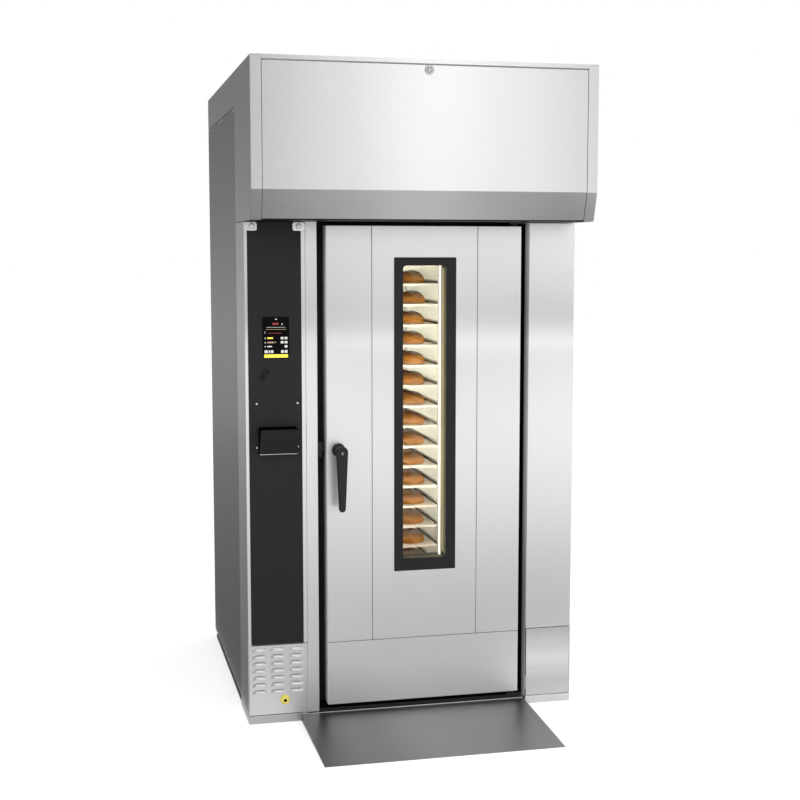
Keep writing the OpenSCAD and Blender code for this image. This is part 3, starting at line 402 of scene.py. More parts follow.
cabinetSteel = steel("brushedSteel", (0.86, 0.86, 0.862), 0.35, "z", 0.03)
# Copies of the steel with painted light and shade: the door's edge, the right jamb, the right
# cover, the hood and the ramp carry a painted sheen and shade from the levels further down, and the
# left toe's steel is made darker, painted shade
doorEdgePaintedShade = steel("doorEdgePaintedShade", (0.95, 0.95, 0.95), 0.45, "z", 0.03, 0.1)
rightJambPaintedShade = steel("rightJambPaintedShade", (0.86, 0.86, 0.862), 0.30, "z", 0.03)
coverPaintedSheen = steel("coverPaintedSheen", (0.99, 0.99, 0.99), 0.30, "z", 0.02)
toePaintedShade = steel("toePaintedShade", (0.62, 0.62, 0.62), 0.34, "x", 0.03)
hoodPaintedSheen = steel("hoodPaintedSheen", (0.86, 0.86, 0.862), 0.30, "x", 0.03)
sideSteel = steel("sideSteel", (0.45, 0.452, 0.458), 0.34, "z")
rampSteel = steel("rampSteel", (0.46, 0.46, 0.46), 0.38, "x", 0.10)
# Near-black steel for parts seen only in shade: painted shade
shadowSteel = steel("shadowSteel", (0.045, 0.045, 0.047), 0.45, "x", 0.1)
chamberSteel = steel("chamberSteel", (0.86, 0.85, 0.75), 0.5, "z", 0.03, 0.1)
galvanised = plain("galvanised", (0.55, 0.56, 0.57), 0.4, 0.9, 30.0, 0.12)
rackSteel = steel("rackSteel", (0.86, 0.84, 0.74), 0.5, "z", 0.03, 0.15)
trayMetal = steel("trayMetal", (0.90, 0.88, 0.82), 0.45, "x", 0.04, 0.2)
# Near-black for the trays' side rims: painted shade
trayRimPaintedShade = plain("trayRimPaintedShade", (0.006, 0.005, 0.004), 0.8, specular=0.02)
blackPaint = plain("blackPaint", (0.014, 0.014, 0.0155), 0.42, 0.0, 900.0, 0.15, 0.2)
blackPlastic = plain("blackPlastic", (0.010, 0.010, 0.011), 0.35, 0.0, 600.0, 0.06, 0.3)
rubber = plain("rubber", (0.009, 0.009, 0.009), 0.6, 0.0, 300.0, 0.06, 0.2)
# Near-black with no shine: painted shade inside the pocket and the fitting's bore
paintedShadeBlack = plain("paintedShadeBlack", (0.002, 0.002, 0.002), 0.9, specular=0.0)
# Grey for the gap under the roof flange: painted shade
gapPaintedShade = plain("gapPaintedShade", (0.20, 0.20, 0.20), 0.6)
# The window's inner wall, on the black bezel: pale for painted lamp light, dark olive for painted
# shade
revealPaintedLampLight = plain("revealPaintedLampLight", (0.56, 0.52, 0.30), 0.5)
revealPaintedShade = plain("revealPaintedShade", (0.13, 0.115, 0.05), 0.5)
darkPaint = plain("darkPaint", (0.12, 0.12, 0.125), 0.45, 0.3, 60.0)
machined = steel("machinedSteel", (0.6, 0.6, 0.6), 0.3, "z")
bright = plain("brightSteel", (0.8, 0.8, 0.8), 0.2, 1.0)
zinc = plain("zincPlate", (0.92, 0.92, 0.92), 0.35, 0.0)
yellow = plain("yellowPlastic", (0.82, 0.70, 0.14), 0.35)
bronze = plain("bronze", (0.5, 0.33, 0.14), 0.35, 1.0)
wool = plain("mineralWool", (0.45, 0.42, 0.25), 0.9, 0.0, 80.0, 0.3)
motorPaint = plain("motorPaint", (0.05, 0.09, 0.14), 0.4, 0.0, 40.0)
aluminium = plain("castAluminium", (0.6, 0.61, 0.62), 0.4, 1.0, 60.0)
lampGlow = glowing("lampGlow", (1.0, 0.96, 0.80), 0.9)
screenBlack = plain("screenGlass", (0.003, 0.003, 0.0035), 0.15, specular=0.06)

# Painted sheen and shade, slow levels in the colour: the axis, then (place, level) pairs along it
paintedSheenAndShade(rampSteel, 0, [(-0.46, 0.52), (-0.27, 0.70), (0.0, 0.96), (0.22, 0.9), (0.46, 0.75)])
paintedSheenAndShade(hoodPaintedSheen, 0, [(-0.67, 0.84), (-0.35, 0.90), (0.02, 1.0), (0.35, 0.93), (0.67, 0.84)])
paintedSheenAndShade(doorEdgePaintedShade, 1, [(-0.406, 1.0), (-0.38, 0.75), (-0.35, 0.35), (-0.318, 0.08)])
paintedSheenAndShade(rightJambPaintedShade, 0, [(0.459, 0.10), (0.466, 0.20), (0.477, 0.42)])
paintedSheenAndShade(coverPaintedSheen, 2, [(0.033, 0.74), (0.09, 0.70), (0.14, 0.82), (0.19, 1.0), (0.26, 0.93),
                      (0.318, 0.82)])

# The look of each of the part's material slots
slotLooks = {
    "frame_paint": darkPaint, "ramp_steel": rampSteel, "cabinet_steel": cabinetSteel,
    "black_paint": blackPaint, "screen": screenBlack, "black_plastic": blackPlastic,
    "black_rubber": rubber, "yellow_fitting": yellow, "galvanised": galvanised,
    "side_steel": sideSteel, "fastener_steel": bright, "chamber_steel": chamberSteel,
    "mineral_wool": wool, "motor_paint": motorPaint, "machine_steel": machined,
    "door_steel": cabinetSteel, "window_glass": windowGlass(), "lamp_glass": lampGlow,
    "bush_bronze": bronze, "black_handle": blackPlastic, "rack_steel": rackSteel,
    "tray_aluminium": trayMetal, "crust": bakedCrust(), "caster_plastic": rubber,
    "fan_steel": aluminium,
}
for part in frame["record"]["subparts"]:
    mesh = nodes[part["node"]].data
    mesh.materials.clear()
    mesh.materials.append(slotLooks[part["material_slot"]])
# The hood's sheets take the steel with the painted sheen; the hood's pan, the lintel, the door's
# hardware, the sill and the handle's stem, seen only in shade, take the near-black steel as painted
# shade; and the front frame, seen through the door's gaps, takes the black rubber look as painted
# shade
for name in ("hood_hatch", "roof_panel", "hood_cheeks"):
    nodes[name].data.materials[0] = hoodPaintedSheen
for name in ("hood_pan", "lintel", "door_hardware", "chamber_floor", "handle_stem"):
    nodes[name].data.materials[0] = shadowSteel
nodes["front_frame"].data.materials[0] = rubber
print("materials ready")

# Bread

rack = {"lowest": 0.260, "pitch": 0.0866, "levels": 18}
loaf = {"radius": 0.058, "height": 0.0455, "frontHeight": 0.0545, "x": (-0.105, 0.105),
        "y": (-0.216, -0.008, 0.2), "gap": 0.0003, "power": 2.3, "fall": 0.9, "foot": 0.91,
        "wall": 0.12, "rise": 0.65, "rows": 9, "columns": 32, "seed": 3}


# A domed loaf: its footprint is a rounded square (sum of the 2.3rd powers), and its radius falls
# off as a power of the cosine of the tilt while its height grows with the sine.
def loafShape(seed, centre, height):
    rng = np.random.default_rng(seed)
    tilt = np.linspace(0, math.pi / 2, loaf["rows"])[:, None]
    u = np.linspace(0, 2 * math.pi, loaf["columns"], endpoint=False)[None, :]
    wave = 1 + 0.02 * np.cos(2 * u + rng.uniform(0, 6)) + 0.015 * np.cos(3 * u + rng.uniform(0, 6))
    lump = 1 + 0.02 * np.cos(2 * u + rng.uniform(0, 6))
    power = loaf["power"]
    square = (np.abs(np.cos(u)) ** power + np.abs(np.sin(u)) ** power) ** (-1 / power)
    r = loaf["radius"] * np.cos(tilt) ** loaf["fall"] * wave * square
    z = height * (loaf["wall"] + loaf["rise"] * np.sin(tilt)) / (loaf["wall"] + loaf["rise"]) * lump
    dome = np.stack([r * np.cos(u), r * np.sin(u), z], -1)
    foot = dome[:1] * (loaf["foot"], loaf["foot"], 0)
    return shell(np.concatenate([foot, dome]) + centre)


trayLevels = rack["lowest"] + rack["pitch"] * np.arange(rack["levels"])
loaves = []
seed = loaf["seed"]
for z in trayLevels:
    for x in loaf["x"]:
        for y in loaf["y"]:
            seed += 1
            height = loaf["frontHeight"] if y == loaf["y"][0] else loaf["height"]
            loaves.append(loafShape(seed, (x, rackY + y, z + loaf["gap"]), height))
build("bakedLoaves", *joined(loaves), slotLooks["crust"], "rack", ["loaves"], "crust", 60)

# A tray: flat pan with its front and rear edge folded down, and a near-black rim on each side,
# painted shade on the rims
tray = {"half": 0.200, "reach": 0.300, "t": 0.0015, "bend": 0.002, "fold": 0.0099,
        "drop": 0.0001, "rim": 0.0084}
pans, rims = [], []
near, far = rackY - tray["reach"], rackY + tray["reach"]
for z in trayLevels:
    deck, low, top = z - tray["drop"], z - tray["fold"], z + tray["rim"]
    line = bent([(near, low), (near, deck), (far, deck), (far, low)], tray["bend"])
    pans.append(swept("x", (-tray["half"], tray["half"]), thickened(line, -tray["t"]), 0.0003))
    for x in (-tray["half"], tray["half"] - tray["t"]):
        rims.append(swept("x", (x, x + tray["t"]),
                          [(near, z), (far, z), (far, top), (near, top)], 0.0002))
build("trayPans", *joined(pans), trayMetal, "rack", ["trays"], "tray_aluminium")
build("trayRims", *joined(rims), trayRimPaintedShade, "rack", slot="tray_aluminium")
print("bread ready")

# Door

doorX0, doorZ0, doorX1, doorZ1 = frontBox("door_case")
door = {"proud": 0.004, "seams": (-0.170, 0.261), "kickSeam": 0.314, "gap": 0.001, "t": 0.0019,
        "edge": 0.0012, "hole": (-0.0495, 0.635, 0.1375, 1.816), "radii": (0.002, 0.019)}
doorFace = face("front", frontY - door["proud"])
leftSeam, rightSeam = door["seams"]
gap = door["gap"]
skinFoot = door["kickSeam"] + gap
build("doorSkins", *joined([plate(doorFace, box, door["t"], door["edge"]) for box in (
    (doorX0, skinFoot, leftSeam - gap, doorZ1),
    (rightSeam + gap, skinFoot, doorX1, doorZ1),
    (doorX0, doorZ0, doorX1, door["kickSeam"] - gap))
]), cabinetSteel, "door", ["door_outer_skins"], "door_steel")
build("doorMiddle", *collar(doorFace, (leftSeam + gap, skinFoot, rightSeam - gap, doorZ1),
                            door["hole"], door["t"], door["edge"], door["radii"]),
      cabinetSteel, "door", ["door_middle_skin"], "door_steel")

# Dark strips behind the seams
seam = {"proud": 0.0032, "half": 0.0011, "inset": 0.0002, "t": 0.001, "edge": 0.0002,
        "corner": 0.0004}
seamBoxes = [(x - seam["half"], skinFoot + 0.0001, x + seam["half"], doorZ1 - seam["inset"])
             for x in door["seams"]]
seamBoxes.append((doorX0 + seam["inset"], door["kickSeam"] - seam["half"],
                  doorX1 - seam["inset"], door["kickSeam"] + seam["half"]))
seamFace = face("front", frontY - seam["proud"])
build("seamBacking", *joined([plate(seamFace, box, seam["t"], seam["edge"], seam["corner"])
                              for box in seamBoxes]), darkPaint, "door", slot="door_steel")

# Window: bezel, and pale and dark strips on its right wall and its sill, by depth behind the front:
# on the bezel's black wall, painted lamp light deeper in and painted shade nearer the front
window = {"proud": 0.008, "open": (-0.0445, 0.640, 0.1325, 1.811), "depth": 0.0899,
          "edge": 0.0022, "openEdge": 0.0015, "radii": (0.003, 0.014)}
reveal = {"pale": (0.034, 0.070), "dark": (0.0005, 0.0305), "sill": (0.0005, 0.019),
          "t": 0.0005, "edge": 0.0001}
build("windowBezel", *collar(face("front", frontY - window["proud"]), frontBox("window_frame"),
                             window["open"], window["depth"], window["edge"], window["radii"],
                             window["openEdge"]),
      blackPaint, "door", ["window_frame"], "black_paint")
openX0, openZ0, openX1, openZ1 = window["open"]


def wallStrip(depths):
    return plate(face("left", openX1 - reveal["t"]),
                 (frontY + depths[0], openZ0 + 0.001, frontY + depths[1], openZ1 - 0.0015),
                 reveal["t"], reveal["edge"])


sillStrip = plate(face("top", openZ0 + 0.0006),
                  (openX0 + 0.0005, frontY + reveal["sill"][0], openX1 - 0.0007,
                   frontY + reveal["sill"][1]), reveal["t"], reveal["edge"])
build("revealInner", *wallStrip(reveal["pale"]), revealPaintedLampLight, "door", slot="black_paint")
build("revealOuter", *joined([wallStrip(reveal["dark"]), sillStrip]), revealPaintedShade, "door",
      slot="black_paint")
# A strip on the door's left edge whose steel fades with depth into the gap: painted sheen at the
# front and painted shade further in
edgeStrip = {"depths": (-0.002, 0.086), "inset": 0.001, "t": 0.0006, "edge": 0.0002}
build("doorEdge", *plate(face("left", doorX0 - edgeStrip["t"]),
                         (frontY + edgeStrip["depths"][0], doorZ0 + edgeStrip["inset"],
                          frontY + edgeStrip["depths"][1], doorZ1 - edgeStrip["inset"]),
                         edgeStrip["t"], edgeStrip["edge"]),
      doorEdgePaintedShade, "door", slot="door_steel")

# Lamp tube with the same cap at both ends
lamp = {"at": (0.1185, frontY + 0.042, 0.6405), "length": 1.170, "radius": 0.0038,
        "cap": [(0.0042, 0), (0.0046, 0.0006), (0.0046, 0.0110), (0.0043, 0.0118)]}
lampCap = lamp["cap"] + [(lamp["radius"], 0.0120)]
build("lampTube", *turned(lamp["at"], (0, 0, 1), lampCap + [
    (r, lamp["length"] - h) for r, h in reversed(lampCap)], 24),
    lampGlow, "door", ["window_lamp"], "lamp_glass")

# Handle: each lever edge entry is how far the outline is drawn in, and its depth
out = (0, -1, 0)
lever = {"hub": (-0.305, 1.088), "hubRadius": 0.0235, "tipRadius": 0.0135, "length": 0.222,
         "edge": [(0.004, -0.072), (0.0015, -0.0722), (0, -0.074), (0, -0.081),
                  (0.001, -0.0838), (0.003, -0.0855), (0.006, -0.086)]}
boss = [(0.0065, 0), (0.0062, 0.001), (0.004, 0.0019), (0.0025, 0.0019), (0.0022, 0.0008)]
leverScrew = [(0.0048, 0), (0.0050, 0.0006), (0.0044, 0.0010), (0.0012, 0.0011)]
rosette = [(0.0269, 0), (0.027, 0.003), (0.0255, 0.0056), (0.022, 0.0078), (0.0175, 0.0090),
           (0.0168, 0.0100), (0.0168, 0.0155), (0.0160, 0.0160), (0.0101, 0.0160)]
hubX, hubZ = lever["hub"]


# The lever's outline: two arcs joined by their common tangents, drawn in by the inset.
def leverRing(inset, depth):
    r1, r2 = lever["hubRadius"] - inset, lever["tipRadius"] - inset
    lean = math.asin((r1 - r2) / lever["length"])
    top = np.linspace(-lean, math.pi + lean, 22)
    low = np.linspace(math.pi + lean, 2 * math.pi - lean, 16)
    a = np.concatenate([r1 * np.cos(top), r2 * np.cos(low)])
    b = np.concatenate([r1 * np.sin(top), -lever["length"] + r2 * np.sin(low)])
    return np.stack([hubX + a, np.full(len(a), frontY + depth), hubZ + b], -1)


build("lever", *joined([
    shell([leverRing(inset, depth) for inset, depth in lever["edge"]]),
    turned((hubX, frontY - 0.0858, hubZ), out, boss, 24),
]), blackPlastic, "handle", ["handle_lever"], "black_handle")
build("leverScrew", *turned((hubX, frontY - 0.0856, hubZ - 0.003), out, leverScrew, 20),
      zinc, "handle", slot="black_handle")
build("rosette", *turned((hubX, frontY - door["proud"], hubZ), out, rosette, 48),
      blackPlastic, "door", ["handle_rosette"], "black_plastic")
print("door ready")

# Columns

columnFace = face("front", frontY)
leftX, _, leftInX, columnTop = frontBox("left_column")
rightInX, _, rightX, _ = frontBox("right_column")
column = {"gauge": 0.0019, "bend": 0.0025, "foot": 0.3195, "coverTop": 0.318, "plinth": 0.034,
          "inner": 0.090, "side": 0.258, "opening": (-0.649, -0.456),
          "bars": ((0.3195, 0.3290), (1.9710, 1.9790))}
toe = {"left": (leftX + 0.002, 0.0005, leftInX, 0.0335),
       "right": (rightInX, 0.0005, rightX - 0.002, 0.033),
       "t": 0.018, "edge": 0.0012, "corner": 0.0015}


# A bent sheet pushed along Z: its plan line keeps to the outside, and a sheet whose solid side
# lies to the line's right has a negative thickness.
def channel(points, radius, span, t):
    return swept("z", span, thickened(bent(points, radius), t))


gauge, bend = column["gauge"], column["bend"]
innerY, sideY = frontY + column["inner"], frontY + column["side"]
upper, lower = (column["foot"], columnTop), (0.0, column["coverTop"])
panelX0, panelX1 = column["opening"]
build("leftColumn", *joined([
    channel([(leftInX, innerY), (leftInX, frontY), (panelX1, frontY)], bend, upper, -gauge),
    channel([(panelX0, frontY), (leftX, frontY), (leftX, sideY)], bend, upper, -gauge),
    *[plate(columnFace, (panelX0 - 0.001, z0, panelX1 + 0.001, z1), gauge, 0.0003)
      for z0, z1 in column["bars"]],
    channel([(leftInX, innerY), (leftInX, frontY + 0.003)], bend,
            (column["plinth"], column["coverTop"]), -gauge),
    channel([(leftX, frontY), (leftX, sideY)], bend, lower, -gauge),
]), cabinetSteel, "cabinet", ["left_column"], "cabinet_steel")
# The left toe takes a darker copy of the steel: painted shade
build("leftToe", *plate(columnFace, toe["left"], toe["t"], toe["edge"], toe["corner"]), toePaintedShade,
      "cabinet", slot="cabinet_steel")
build("rightColumn", *joined([
    channel([(rightInX, innerY), (rightInX, frontY), (rightX, frontY), (rightX, sideY)], bend,
            upper, gauge),
    channel([(rightX, frontY), (rightX, sideY)], bend, lower, gauge),
    plate(columnFace, toe["right"], toe["t"], toe["edge"], toe["corner"]),
]), cabinetSteel, "cabinet", ["right_column"], "cabinet_steel")
cover = {"right": (0.4795, 0.0345, 0.6675, 0.317), "left": (-0.6675, 0.0355, -0.4355, 0.3165),
         "edge": 0.0012}
# The right cover's steel carries a painted sheen, brightest across its middle and darker towards
# top and bottom
build("rightCover", *plate(columnFace, cover["right"], gauge, cover["edge"]), coverPaintedSheen,
      "cabinet", slot="cabinet_steel")

# Door jambs: a U of sheet each, from the plinth to the lintel; the right one's steel carries
# painted shade, darkest beside the door
jambTop = frontBox("door_jambs")[3]
jambs = {"leftJamb": ((leftInX, -0.387), cabinetSteel, ["door_jambs"]),
         "rightJamb": ((0.459, rightInX), rightJambPaintedShade, ())}
for name, ((x0, x1), look, replaced) in jambs.items():
    build(name, *channel([(x1 - 0.0001, frontY + 0.0915), (x1, frontY), (x0, frontY),
                          (x0 + 0.0001, frontY + 0.0915)], bend, (0.0345, jambTop), -gauge),
          look, "cabinet", replaced, "cabinet_steel")

# Tabs in the column's upper corners
tab = {"proud": 0.005, "z": (1.9445, 1.9785), "left": (leftX, -0.619), "right": (-0.4815, -0.4335),
       "t": 0.0045, "edge": 0.0009, "corner": 0.008}
build("cornerTabs", *joined([
    plate(face("front", frontY - tab["proud"]), (x0, tab["z"][0], x1, tab["z"][1]), tab["t"],
          tab["edge"], tab["corner"], 6) for x0, x1 in (tab["left"], tab["right"])
]), bright, "cabinet", slot="cabinet_steel")

# Touchscreen: glass with a generic page of readings on it. A mark is its left, top, width and
# height in millimetres from the glass's upper left corner.
screenBox = frontBox("touchscreen")
screen = {"proud": 0.007, "t": 0.004, "edge": 0.0012, "corner": 0.004}
page = {
    "pagePale": ((0.50, 0.52, 0.49), 0.42, [
        (48, 8, 8, 3), (73, 26, 5, 5), (15, 40, 74, 1.2), (8, 56, 1.6, 9),
        (70, 78, 11, 9), (85, 78, 11, 9), (70, 94, 11, 9), (85, 94, 11, 9), (85, 110, 11, 9),
        (7, 129, 12, 11), (23, 129, 6, 11), (32, 129, 9, 11), (71, 129, 11, 11),
        (85, 129, 11, 11), (8, 112, 4, 5), (18, 112, 18, 5), (8, 97, 4, 5), (8, 80, 4, 5)]),
    "pageAmber": ((0.34, 0.24, 0.15), 0.4, [(12, 48, 80, 1.4), (18, 96, 24, 5.5),
                                            (44, 97, 8, 3.5)]),
    "pageRed": ((0.20, 0.02, 0.015), 0.35, [(38, 23, 24, 8), (22, 62, 52, 2.2)]),
    "pageYellow": ((0.78, 0.62, 0.05), 0.55, [(18, 79, 22, 6), (5, 145, 93, 13)]),
}
build("screenGlass", *plate(face("front", frontY - screen["proud"]), screenBox, screen["t"],
                            screen["edge"], screen["corner"]),
      screenBlack, "cabinet", ["touchscreen"], "screen")
pageFace = face("front", frontY - screen["proud"] - 0.0002)
pageX, pageZ = screenBox[0], screenBox[3]
for name, (color, strength, marks) in page.items():
    build(name, *joined([
        plate(pageFace, (pageX + a / 1000, pageZ - (b + h) / 1000, pageX + (a + w) / 1000,
                         pageZ - b / 1000), 0.0003, 0.0001, 0.0008, 2) for a, b, w, h in marks]),
        glowing(name + "Glow", color, strength), "cabinet", slot="screen")
print("columns ready")

# Control panel's fittings. A profile is pairs of radius and height, or of depth and height.
port = {"at": (-0.586, frontY - 0.003, 1.404), "profile": [
    (0.0088, -0.024), (0.0090, 0), (0.0128, 0.0002), (0.0130, 0.0025), (0.0118, 0.0038),
    (0.0095, 0.0040), (0.0085, 0.0026), (0.0062, 0.0022), (0.0060, -0.008)]}
build("portFlange", *turned(port["at"], out, port["profile"], 36), blackPlastic, "cabinet",
      ["usb_port"], "black_plastic")
cap = {"x": -0.601, "z": 1.380, "pivotZ": 1.400, "strap": (1.387, 1.401), "strapHalf": 0.0016,
       "plug": [(0.0085, 0), (0.0095, 0.001), (0.0095, 0.0062), (0.0082, 0.0078),
                (0.0055, 0.008), (0.005, 0.007)],
       "button": [(0.0035, 0), (0.004, 0.0005), (0.004, 0.002), (0.0034, 0.0025)]}
build("portCap", *joined([
    turned((cap["x"], frontY - 0.006, cap["z"]), out, cap["plug"], 30),
    plate(face("front", frontY - 0.011),
          (cap["x"] - cap["strapHalf"], cap["strap"][0], cap["x"] + cap["strapHalf"],
           cap["strap"][1]), 0.0024, 0.0006, 0.0012),
    turned((cap["x"], frontY - 0.0086, cap["pivotZ"]), out, cap["button"], 20),
]), rubber, "port_cap", ["usb_cap"], "black_rubber")


# Pairs of a depth from the cabinet's front and a height, in the row frame.
def fromFront(points):
    return [(frontY + depth, height) for depth, height in points]


pocket = {"x": (-0.621, -0.472), "t": 0.0018, "bend": 0.004, "wall": 0.0019, "bevel": 0.0004,
          "plate": (-0.641, 1.090, -0.456, 1.294), "corner": 0.004,
          "line": [(-0.084, 1.1838), (-0.029, 1.0822), (-0.0035, 1.0822)],
          "cheek": [(-0.0035, 1.0830), (-0.029, 1.0830), (-0.083, 1.1835), (-0.0035, 1.1835)],
          "mouth": (1.0835, 1.1875),
          "bendHighlight": [(-0.0265, 1.0817), (-0.0305, 1.0817), (-0.0318, 1.0845), (-0.0300, 1.0845)]}
pocketX0, pocketX1 = pocket["x"]
cheekLine = fromFront(pocket["cheek"])
# The pocket's cheeks and a plate in its mouth, near-black: painted shade inside the pocket
build("pocketInside", *joined([
    swept("x", (pocketX0, pocketX0 + pocket["wall"]), cheekLine, pocket["bevel"]),
    swept("x", (pocketX1 - pocket["wall"], pocketX1), cheekLine, pocket["bevel"]),
    plate(face("front", frontY - 0.0056), (pocketX0 + 0.001, pocket["mouth"][0],
                                           pocketX1 - 0.001, pocket["mouth"][1]), 0.0006, 0.0002),
]), paintedShadeBlack, "cabinet", slot="black_paint")
build("documentPocket", *joined([
    swept("x", pocket["x"], thickened(bent(fromFront(pocket["line"]), pocket["bend"]),
                                      pocket["t"])),
    plate(face("front", frontY - 0.005), pocket["plate"], 0.0019, 0.0008, pocket["corner"]),
]), blackPaint, "cabinet", ["document_pocket"], "black_paint")
# A bright steel strip along the pocket's lower bend: a painted highlight on that bend
build("pocketBendHighlight", *swept("x", (pocketX0 + 0.001, pocketX1 - 0.001), fromFront(pocket["bendHighlight"]),
                          0.0003), bright, "cabinet", slot="black_paint")

# Screws on the sides, the rear, the pocket and the tabs
backY = frontY + 1.330
fixings = {"radius": 0.006, "height": 0.002, "sideY": (0.310, 0.734, 0.836, 1.278),
           "sideZ": (0.053, 2.425), "rearX": (-0.62, 0, 0.62),
           "rearZ": (0.057, 1.215, 1.268, 2.535), "pocketX": (-0.6265, -0.467),
           "pocketZ": (1.107, 1.278), "pocketRadius": 0.0045, "tabX": (-0.639, -0.458),
           "tabZ": 1.963, "tabRadius": 0.0088, "tabHeight": 0.0036}
boltShadeRing = [(0.0104, 0), (0.0106, 0.0004), (0.0100, 0.0008), (0.0040, 0.0008)]


# A turned dome: its middle is sunk, or closed where sunk is 1.
def screw(at, axis, r, h, sunk=0.35):
    return turned(at, axis, [(r, 0), (r * 0.98, h * 0.35), (r * 0.82, h * 0.78), (r * 0.55, h),
                             (r * 0.38, h), (r * 0.34, h * sunk)], 20)


screws = [screw((x, frontY + y, z), (x, 0, 0), fixings["radius"], fixings["height"])
          for x in (leftX, rightX) for y in fixings["sideY"] for z in fixings["sideZ"]]
screws += [screw((x, backY, z), (0, 1, 0), fixings["radius"], fixings["height"])
           for x in fixings["rearX"] for z in fixings["rearZ"]]
screws += [screw((x, frontY - 0.005, z), out, fixings["pocketRadius"], fixings["height"])
           for x in fixings["pocketX"] for z in fixings["pocketZ"]]
build("coverScrews", *joined(screws), bright, "cabinet", ["cover_screws"], "fastener_steel")
build("tabBolts", *joined([
    screw((x, frontY - 0.0052, fixings["tabZ"]), out, fixings["tabRadius"], fixings["tabHeight"],
          1.02) for x in fixings["tabX"]]), zinc, "cabinet", slot="fastener_steel")
# Dark rings round the tab bolts: painted shade round their heads
build("tabBoltShade", *joined([turned((x, frontY - 0.0049, fixings["tabZ"]), out, boltShadeRing, 24)
                             for x in fixings["tabX"]]),
      darkPaint, "cabinet", slot="fastener_steel")

# Louvred cover with its yellow fitting
louvres = {"middle": (-0.5525, 0.124), "across": 0.0733, "up": 0.0284, "rows": 7, "half": 0.0288,
           "rise": 0.0095, "height": 0.0135, "power": 4.0, "gridColumns": 25, "gridRows": 9,
           "wall": (0, 0.0014, -0.0012)}


# A pressed louvre: a hood whose front falls away with the square of the height, open below, and
# whose size falls to nothing at both ends.
def louvre(centre):
    u = np.linspace(-1, 1, louvres["gridColumns"])[:, None]
    v = np.linspace(0, 1, louvres["gridRows"])[None, :]
    fade = (1 - np.abs(u) ** louvres["power"]) ** 0.5
    x = centre[0] + louvres["half"] * u + 0 * v
    y = centre[1] - louvres["rise"] * fade * (1 - v ** 2)
    z = centre[2] + louvres["height"] * fade ** 0.6 * v
    outer = np.stack([x, y, z], -1)
    inner = outer + np.array(louvres["wall"])
    return shell(np.concatenate([outer, inner[:, ::-1]], 1))


louvreParts = [plate(columnFace, cover["left"], gauge, cover["edge"])]
for c in (-1, 0, 1):
    for k in range(louvres["rows"]):
        louvreParts.append(louvre((louvres["middle"][0] + c * louvres["across"], frontY + 0.0002,
                                   louvres["middle"][1] + k * louvres["up"])))
build("louvredCover", *joined(louvreParts), cabinetSteel, "cabinet", ["louvre_panel"],
      "cabinet_steel")
drain = {"at": (-0.526, frontY, 0.093), "profile": [
    (0.0078, -0.038), (0.0080, 0.0), (0.0186, 0.0), (0.0190, 0.0010), (0.0190, 0.0045),
    (0.0178, 0.0062), (0.0152, 0.0088), (0.0150, 0.0145), (0.0140, 0.0165), (0.0118, 0.0179),
    (0.0082, 0.0179), (0.0072, 0.0168), (0.0068, 0.0140), (0.0066, -0.036)],
    "bore": [(0.0064, -0.030), (0.0066, 0.0120), (0.0060, 0.0124)]}
build("drainFitting", *turned(drain["at"], out, drain["profile"], 40), yellow, "cabinet",
      ["hose_fitting"], "yellow_fitting")
# The bore's inside, near-black: painted shade
build("drainBore", *turned(drain["at"], out, drain["bore"], 30), paintedShadeBlack, "cabinet",
      slot="yellow_fitting")

# Ramp: a bent plate on four ribs, its steel with a painted sheen, and a bright steel strip where it
# meets the sill, a painted highlight on its top edge
rampX0, _, rampX1, _ = frontBox("ramp")
ramp = {"t": 0.0018, "bend": 0.0015, "ribs": (-0.4592, -0.1510, 0.1530, 0.4612),
        "ribWidth": 0.0039,
        "line": [(-0.001, 0.001), (-0.001, 0.0298), (-0.007, 0.0298), (-0.5235, 0.0022),
                 (-0.5235, 0.0003)],
        "rib": [(-0.514, 0.0003), (-0.003, 0.0003), (-0.003, 0.026), (-0.514, 0.0012)],
        "edgeHighlight": [(-0.0010, 0.0290), (-0.0085, 0.0290), (-0.0085, 0.0312), (-0.0078, 0.0318),
                   (-0.0010, 0.0318)]}
build("ramp", *joined([
    swept("x", (rampX0, rampX1), thickened(bent(fromFront(ramp["line"]), ramp["bend"]), ramp["t"]),
          0.0003),
    *[swept("x", (x, x + ramp["ribWidth"]), fromFront(ramp["rib"]), 0.0004) for x in ramp["ribs"]],
]), rampSteel, "cabinet", ["ramp"], "ramp_steel")
build("rampEdgeHighlight", *swept("x", (rampX0 + 0.0005, rampX1 - 0.0005), fromFront(ramp["edgeHighlight"]),
                           0.0003), bright, "cabinet", slot="ramp_steel")
print("fittings and ramp ready")

# Side and rear panels
panels = {"t": 0.0019, "edge": 0.0014, "sideY": ((0.260, 0.784), (0.786, 1.328)),
          "sideZ": (0.0372, 2.4368), "rearZ": ((0.0372, 1.240), (1.242, 2.5728)), "rearX": 0.668}
panelZ0, panelZ1 = panels["sideZ"]
sides = (face("left", leftX), face("right", rightX))
build("sidePanels", *joined([
    plate(side, (frontY + y0, panelZ0, frontY + y1, panelZ1), panels["t"], panels["edge"])
    for side in sides for y0, y1 in panels["sideY"]
]), sideSteel, "cabinet", ["side_panels"], "side_steel")
build("rearPanels", *joined([
    plate(face("rear", backY), (-panels["rearX"], z0, panels["rearX"], z1), panels["t"],
          panels["edge"]) for z0, z1 in panels["rearZ"]
]), sideSteel, "cabinet", ["rear_panels"], "side_steel")

# Hood
hood = {"depth": 0.243, "lip": 2.092, "run": 0.035, "rise": 0.111, "strip": 0.6285,
        "side": 0.6699, "bend": 0.0025, "t": 0.0019, "band": (2.4392, 2.5728), "bandEdge": 0.001}
hoodY = frontY - hood["depth"]


